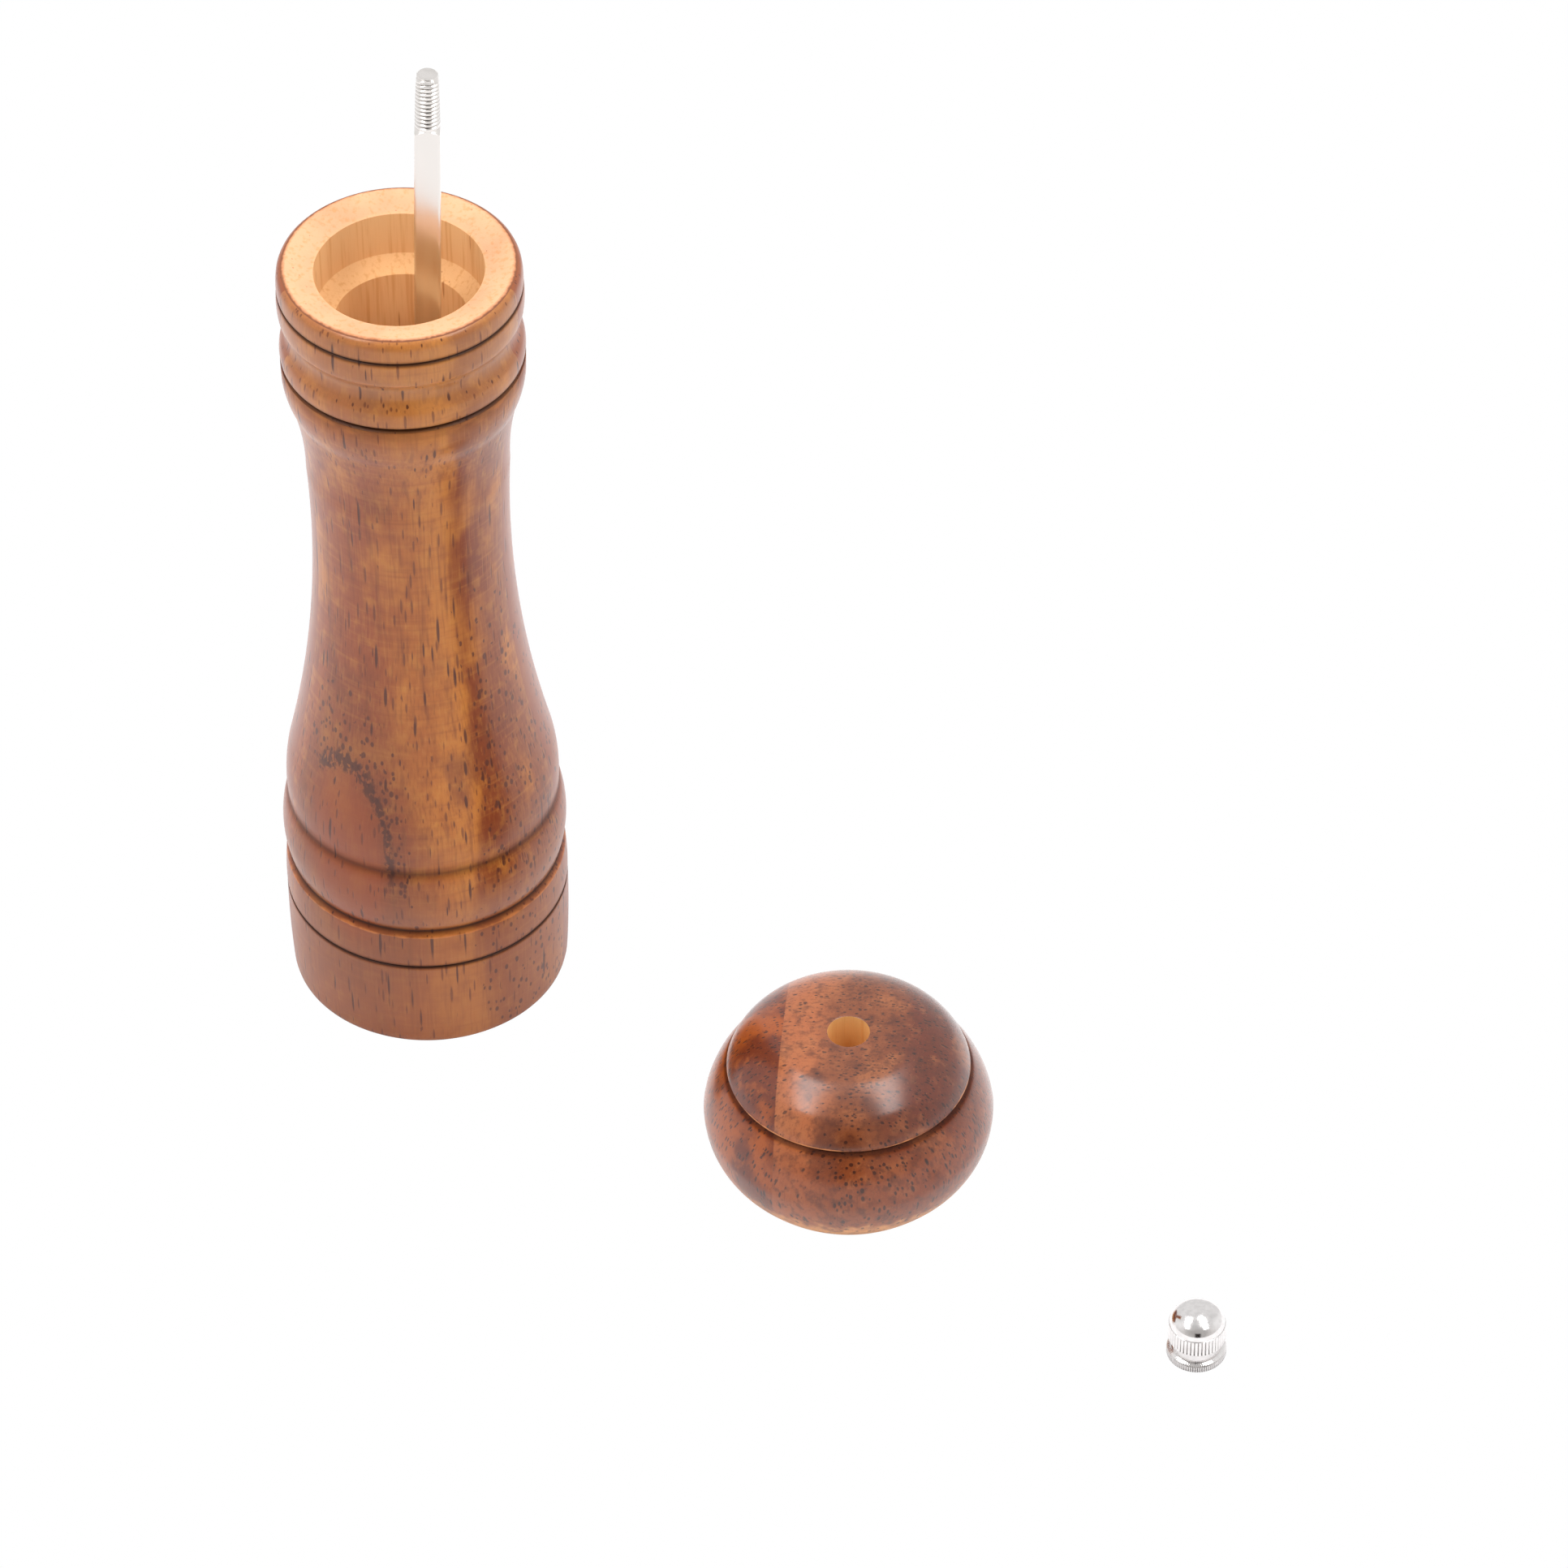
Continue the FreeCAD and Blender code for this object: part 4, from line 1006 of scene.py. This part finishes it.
# %% Dots of the head: pores cut across
plain_strip = node(tree, "ShaderNodeMapRange", {"Value": right_board, "From Min": -5.0,
                   "From Max": 1.0, "To Min": 0.22, "To Max": 0.85})
at_left = node(tree, "ShaderNodeMath", {0: board, 1: GLUE_LINE}, operation="LESS_THAN")
crowd = node(tree, "ShaderNodeMix", {0: at_left, 2: plain_strip, 3: 1.0}, data_type="FLOAT")
thinned = node(tree, "ShaderNodeMapRange", {"Value": patch, "From Min": 0.3, "From Max": 0.6,
               "To Min": 1.3, "To Max": 0.5})
crowd = node(tree, "ShaderNodeMath", {0: crowd, 1: thinned}, operation="MULTIPLY")
dot = pores(tree, lengths, (1.15, 0.60, 2.8), 0.52, crowd)
big_dot = pores(tree, lengths, (2.0, 1.0, 5.5), 0.34, 0.42)
colour = layer(tree, colour, paint("#2D0F05"), dot, 0.0, 0.9, 0.82)
colour = layer(tree, colour, paint("#260C04"), big_dot, 0.0, 1.0, 0.75)
print("nodes with the dots", len(tree.nodes))

# %% Painted shadow under the ledge, worn edge, relief and lacquer of the head
stain_and_groove_shade = node(tree, "ShaderNodeAttribute", attribute_name="stain_and_groove_shade").outputs["Fac"]
wear_and_sheen = node(tree, "ShaderNodeAttribute", attribute_name="wear_and_sheen").outputs["Fac"]
broken = pattern(tree, lengths, (5.0, 5.0, 3.0), detail=3.0)
wear_and_sheen = node(tree, "ShaderNodeMath", {0: wear_and_sheen, 1: broken}, operation="MULTIPLY")
colour = layer(tree, colour, paint("#C57A43"), wear_and_sheen, 0.36, 0.52, 0.85)
# Painted shadow in the step under the ledge, nearly black.
colour = layer(tree, colour, paint("#280D05"), stain_and_groove_shade, 0.2, 0.95, 0.8)
open_grain = node(tree, "ShaderNodeMath", {0: dot, 1: big_dot}, operation="MAXIMUM")
height = node(tree, "ShaderNodeMath", {0: open_grain, 1: -0.6, 2: 0.8},
              operation="MULTIPLY_ADD")
height = node(tree, "ShaderNodeMath", {0: grit, 1: 0.12, 2: height}, operation="MULTIPLY_ADD")
bumpy_shader(head_wood, colour, height, RELIEF_DEPTH, WOOD_ROUGHNESS,
             Specular_IOR_Level=0.12, Coat_Roughness=0.23)
lacquer(head_wood, 1.0, stain_and_groove_shade)
print(head_wood.name, "nodes", len(tree.nodes))

# %% [markdown]
# ## Bare rubberwood
#
# Inside, where the mill holds food, the wood is left raw: pale straw to orange, dull, with fine
# upright grain and a few reddish pores. Near an outer edge the stain has crept in along the
# fibres and left an uneven reddish border. One function makes it for both pieces, because only
# the axis and the radius at which the stain stops differ.

# %% Bare wood and where it shows
def bare_wood(name, axis, stain_radius, deep_below, deep):
    """Unfinished wood, of colour deep below a height in mm, with a ragged border of stain
    outside a radius."""
    material, tree = new_material(name)
    lengths = lengths_from(tree, axis)
    cloud = pattern(tree, lengths, (12, 12, 30), detail=3.0)
    streak = pattern(tree, lengths, (0.9, 0.9, 30), detail=3.0)
    fibre = pattern(tree, lengths, (0.3, 0.3, 8), detail=2.0)
    colour = layer(tree, paint("#DBA27B"), paint("#E4AE86"), cloud, 0.35, 0.65)
    up = node(tree, "ShaderNodeSeparateXYZ", {"Vector": lengths}).outputs["Z"]
    colour = layer(tree, colour, paint(deep), up, deep_below + 0.2, deep_below - 0.4)
    colour = layer(tree, colour, paint("#D08E4C"), streak, 0.50, 0.70, 0.45)
    colour = layer(tree, colour, paint("#CC8A4A"), fibre, 0.55, 0.80, 0.22)
    reddish = pores(tree, lengths, (1.6, 1.6, 22.0), 0.20, 0.35)
    colour = layer(tree, colour, paint("#A8602E"), reddish, 0.0, 1.0, 0.6)
    flat = node(tree, "ShaderNodeVectorMath", {0: lengths, 1: (1.0, 1.0, 0.0)},
                operation="MULTIPLY")
    radius = node(tree, "ShaderNodeVectorMath", {0: flat}, operation="LENGTH")
    ragged = pattern(tree, lengths, (1.2, 1.2, 4.0), detail=3.0)
    crept = node(tree, "ShaderNodeMath", {0: ragged, 1: 0.7, 2: radius.outputs["Value"]},
                 operation="MULTIPLY_ADD")
    colour = layer(tree, colour, paint("#B4683C"), crept, stain_radius + 0.5,
                   stain_radius + 1.2, 0.65)
    colour = layer(tree, colour, paint("#5E2E1C"), crept, stain_radius + 1.0,
                   stain_radius + 1.4, 0.75)
    bumpy_shader(material, colour, fibre, 0.03, 0.72, Specular_IOR_Level=0.3)
    return material


def finish_by_place(piece, axis, outer, inner, is_bare):
    """Gives a turned piece its outer finish, and bare wood where is_bare(radius, height)."""
    piece.data.materials.append(outer)
    piece.data.materials.append(inner)
    for face in piece.data.polygons:
        radius = math.hypot(face.center.x - axis[0], face.center.y - axis[1]) / MM
        face.material_index = int(is_bare(radius, face.center.z / MM))
    print(piece.name, "bare faces", sum(face.material_index for face in piece.data.polygons))


# %% Finishes of the body and the head
BODY_STAIN_RADIUS = 23.35
HEAD_STAIN_RADIUS = 21.0
finish_by_place(
    body, (0.0, 0.0), stained_wood,
    bare_wood("bare_rubberwood", (0.0, 0.0), BODY_STAIN_RADIUS, BODY_HEIGHT - 1.6, "#EBBB84"),
    lambda radius, height: radius < RIM_INNER + 0.9 and height > BODY_HEIGHT - 1.7
    or radius < NECK_RADIUS - 1.5 or radius < FLANGE_SEAT_RADIUS + 0.1 and height < 10
    or height < 0.05)
finish_by_place(
    head, HEAD_AXIS, head_wood,
    bare_wood("bare_rubberwood_head", HEAD_AXIS, HEAD_STAIN_RADIUS, HEAD_TOP + 1, "#E0AA6A"),
    lambda radius, height: radius < HEAD_HOLE + 0.05 or height < TENON_LENGTH - 0.6)

# %% [markdown]
# ## Metals and nylon
#
# Eight finishes cover the rest. Drawn bar is satin, with fine lines along its length. Chrome
# is a mirror over a faint orange-peel. Zinc plate is paler and duller, with a soft spangle.
# Sintered steel is dark and grainy. Spring wire is drawn and a little dark, and the bush is
# milky nylon. A metal's colour is nearly all of its look, so each is its colour, a roughness
# and a fine pattern that moves both a little.

# %% Mechanism finishes
def plain_finish(name, dark, light, size, depth, roughness, **sockets):
    """A finish of two near colours in a pattern of size mm, with a slight relief."""
    material, tree = new_material(name)
    lengths = lengths_from(tree, (0.0, 0.0))
    speck = pattern(tree, lengths, size, detail=3.0)
    colour = layer(tree, paint(dark), paint(light), speck, 0.35, 0.65)
    bumpy_shader(material, colour, speck, depth, roughness, **sockets)
    shader = tree.nodes["Principled BSDF"]
    spread = node(tree, "ShaderNodeMapRange", {
        "Value": speck, "From Min": 0.3, "From Max": 0.7, "To Min": roughness * 0.85,
        "To Max": roughness * 1.2})
    tree.links.new(spread.outputs["Result"], shader.inputs["Roughness"])
    return material


satin_bar = plain_finish("satin_drawn_stainless_bar", "#D6D2CE", "#DEDAD7", (3.0, 3.0, 90.0),
                         0.0004, 0.24, Metallic=1.0)
chrome = plain_finish("bright_chrome_plate", "#D9D6D5", "#E3E0DF", (1.2, 1.2, 1.2),
                      0.002, 0.13, Metallic=1.0)
sintered = plain_finish("sintered_grinding_steel", "#5C5B5A", "#78766F", (0.5, 0.5, 0.5),
                        0.02, 0.48, Metallic=1.0)
zinc_strip = plain_finish("zinc_plated_strip", "#A9ABAD", "#C3C5C6", (1.6, 1.6, 1.6),
                          0.006, 0.34, Metallic=1.0)
spring_steel = plain_finish("drawn_spring_wire", "#8F8E8C", "#ABA9A5", (0.3, 0.3, 0.3),
                            0.005, 0.3, Metallic=1.0)
zinc_washer = plain_finish("zinc_plated_washer", "#B0B1AE", "#C9C8C2", (0.9, 0.9, 0.9),
                           0.006, 0.38, Metallic=1.0)
zinc_screw = plain_finish("zinc_plated_screw", "#A5A6A8", "#C0C0C0", (0.6, 0.6, 0.6),
                          0.006, 0.32, Metallic=1.0)
nylon = plain_finish("natural_nylon", "#DCD8CC", "#E8E5DC", (1.0, 1.0, 1.0), 0.01, 0.5)
METALS = (satin_bar, chrome, sintered, zinc_strip, spring_steel, zinc_washer, zinc_screw)
print("metals", len(METALS), "and", nylon.name)

# %% [markdown]
# ## Dirt in the grooves
#
# The bottom of the thread and the grooves between the ribs of the nut are darkened with painted
# shade. The points that were cut or drawn in carry a mark, so a greyer colour is laid over the
# metal by it. Shading by occlusion would find the grooves too, but is slower and less exact.

# %% Painted shade in the grooves of the bar and the nut
for metal, groove_shade_share in ((satin_bar, 0.25), (chrome, 0.5)):
    tree = metal.node_tree
    shader = tree.nodes["Principled BSDF"]
    clean = shader.inputs["Base Color"].links[0].from_socket
    grooved = node(tree, "ShaderNodeAttribute", attribute_name="grooved").outputs["Fac"]
    # Painted shade: a greyer colour at the bottom of the thread and between the ribs.
    groove_shaded = layer(tree, clean, paint("#6E6A67"), grooved, 0.1, 0.9, groove_shade_share)
    tree.links.new(groove_shaded.outputs[2], shader.inputs["Base Color"])
    print(metal.name, "nodes", len(tree.nodes))

# %% Metals and nylon on their pieces
spindle.data.materials.append(satin_bar)
nut.data.materials.append(chrome)
spring.data.materials.clear()
spring.data.materials.append(spring_steel)

FINISH_OF = {
    "stator": sintered, "rotor": sintered, "guide_bridge": zinc_strip,
    "bottom_bracket": zinc_strip, "driver_plate": zinc_strip,
    "retaining_clip": spring_steel, "bracket_bush": nylon,
    "spring_lower_washer": zinc_washer, "spring_upper_washer": zinc_washer,
    "bracket_screw_left": zinc_screw, "bracket_screw_right": zinc_screw,
    "stator_screw_front": zinc_screw, "stator_screw_back": zinc_screw,
    "driver_screw_left": zinc_screw, "driver_screw_right": zinc_screw,
}
for name, finish in FINISH_OF.items():
    for slot in bpy.data.objects[name].material_slots:
        slot.material = finish
print("finished CAD nodes", len(FINISH_OF))
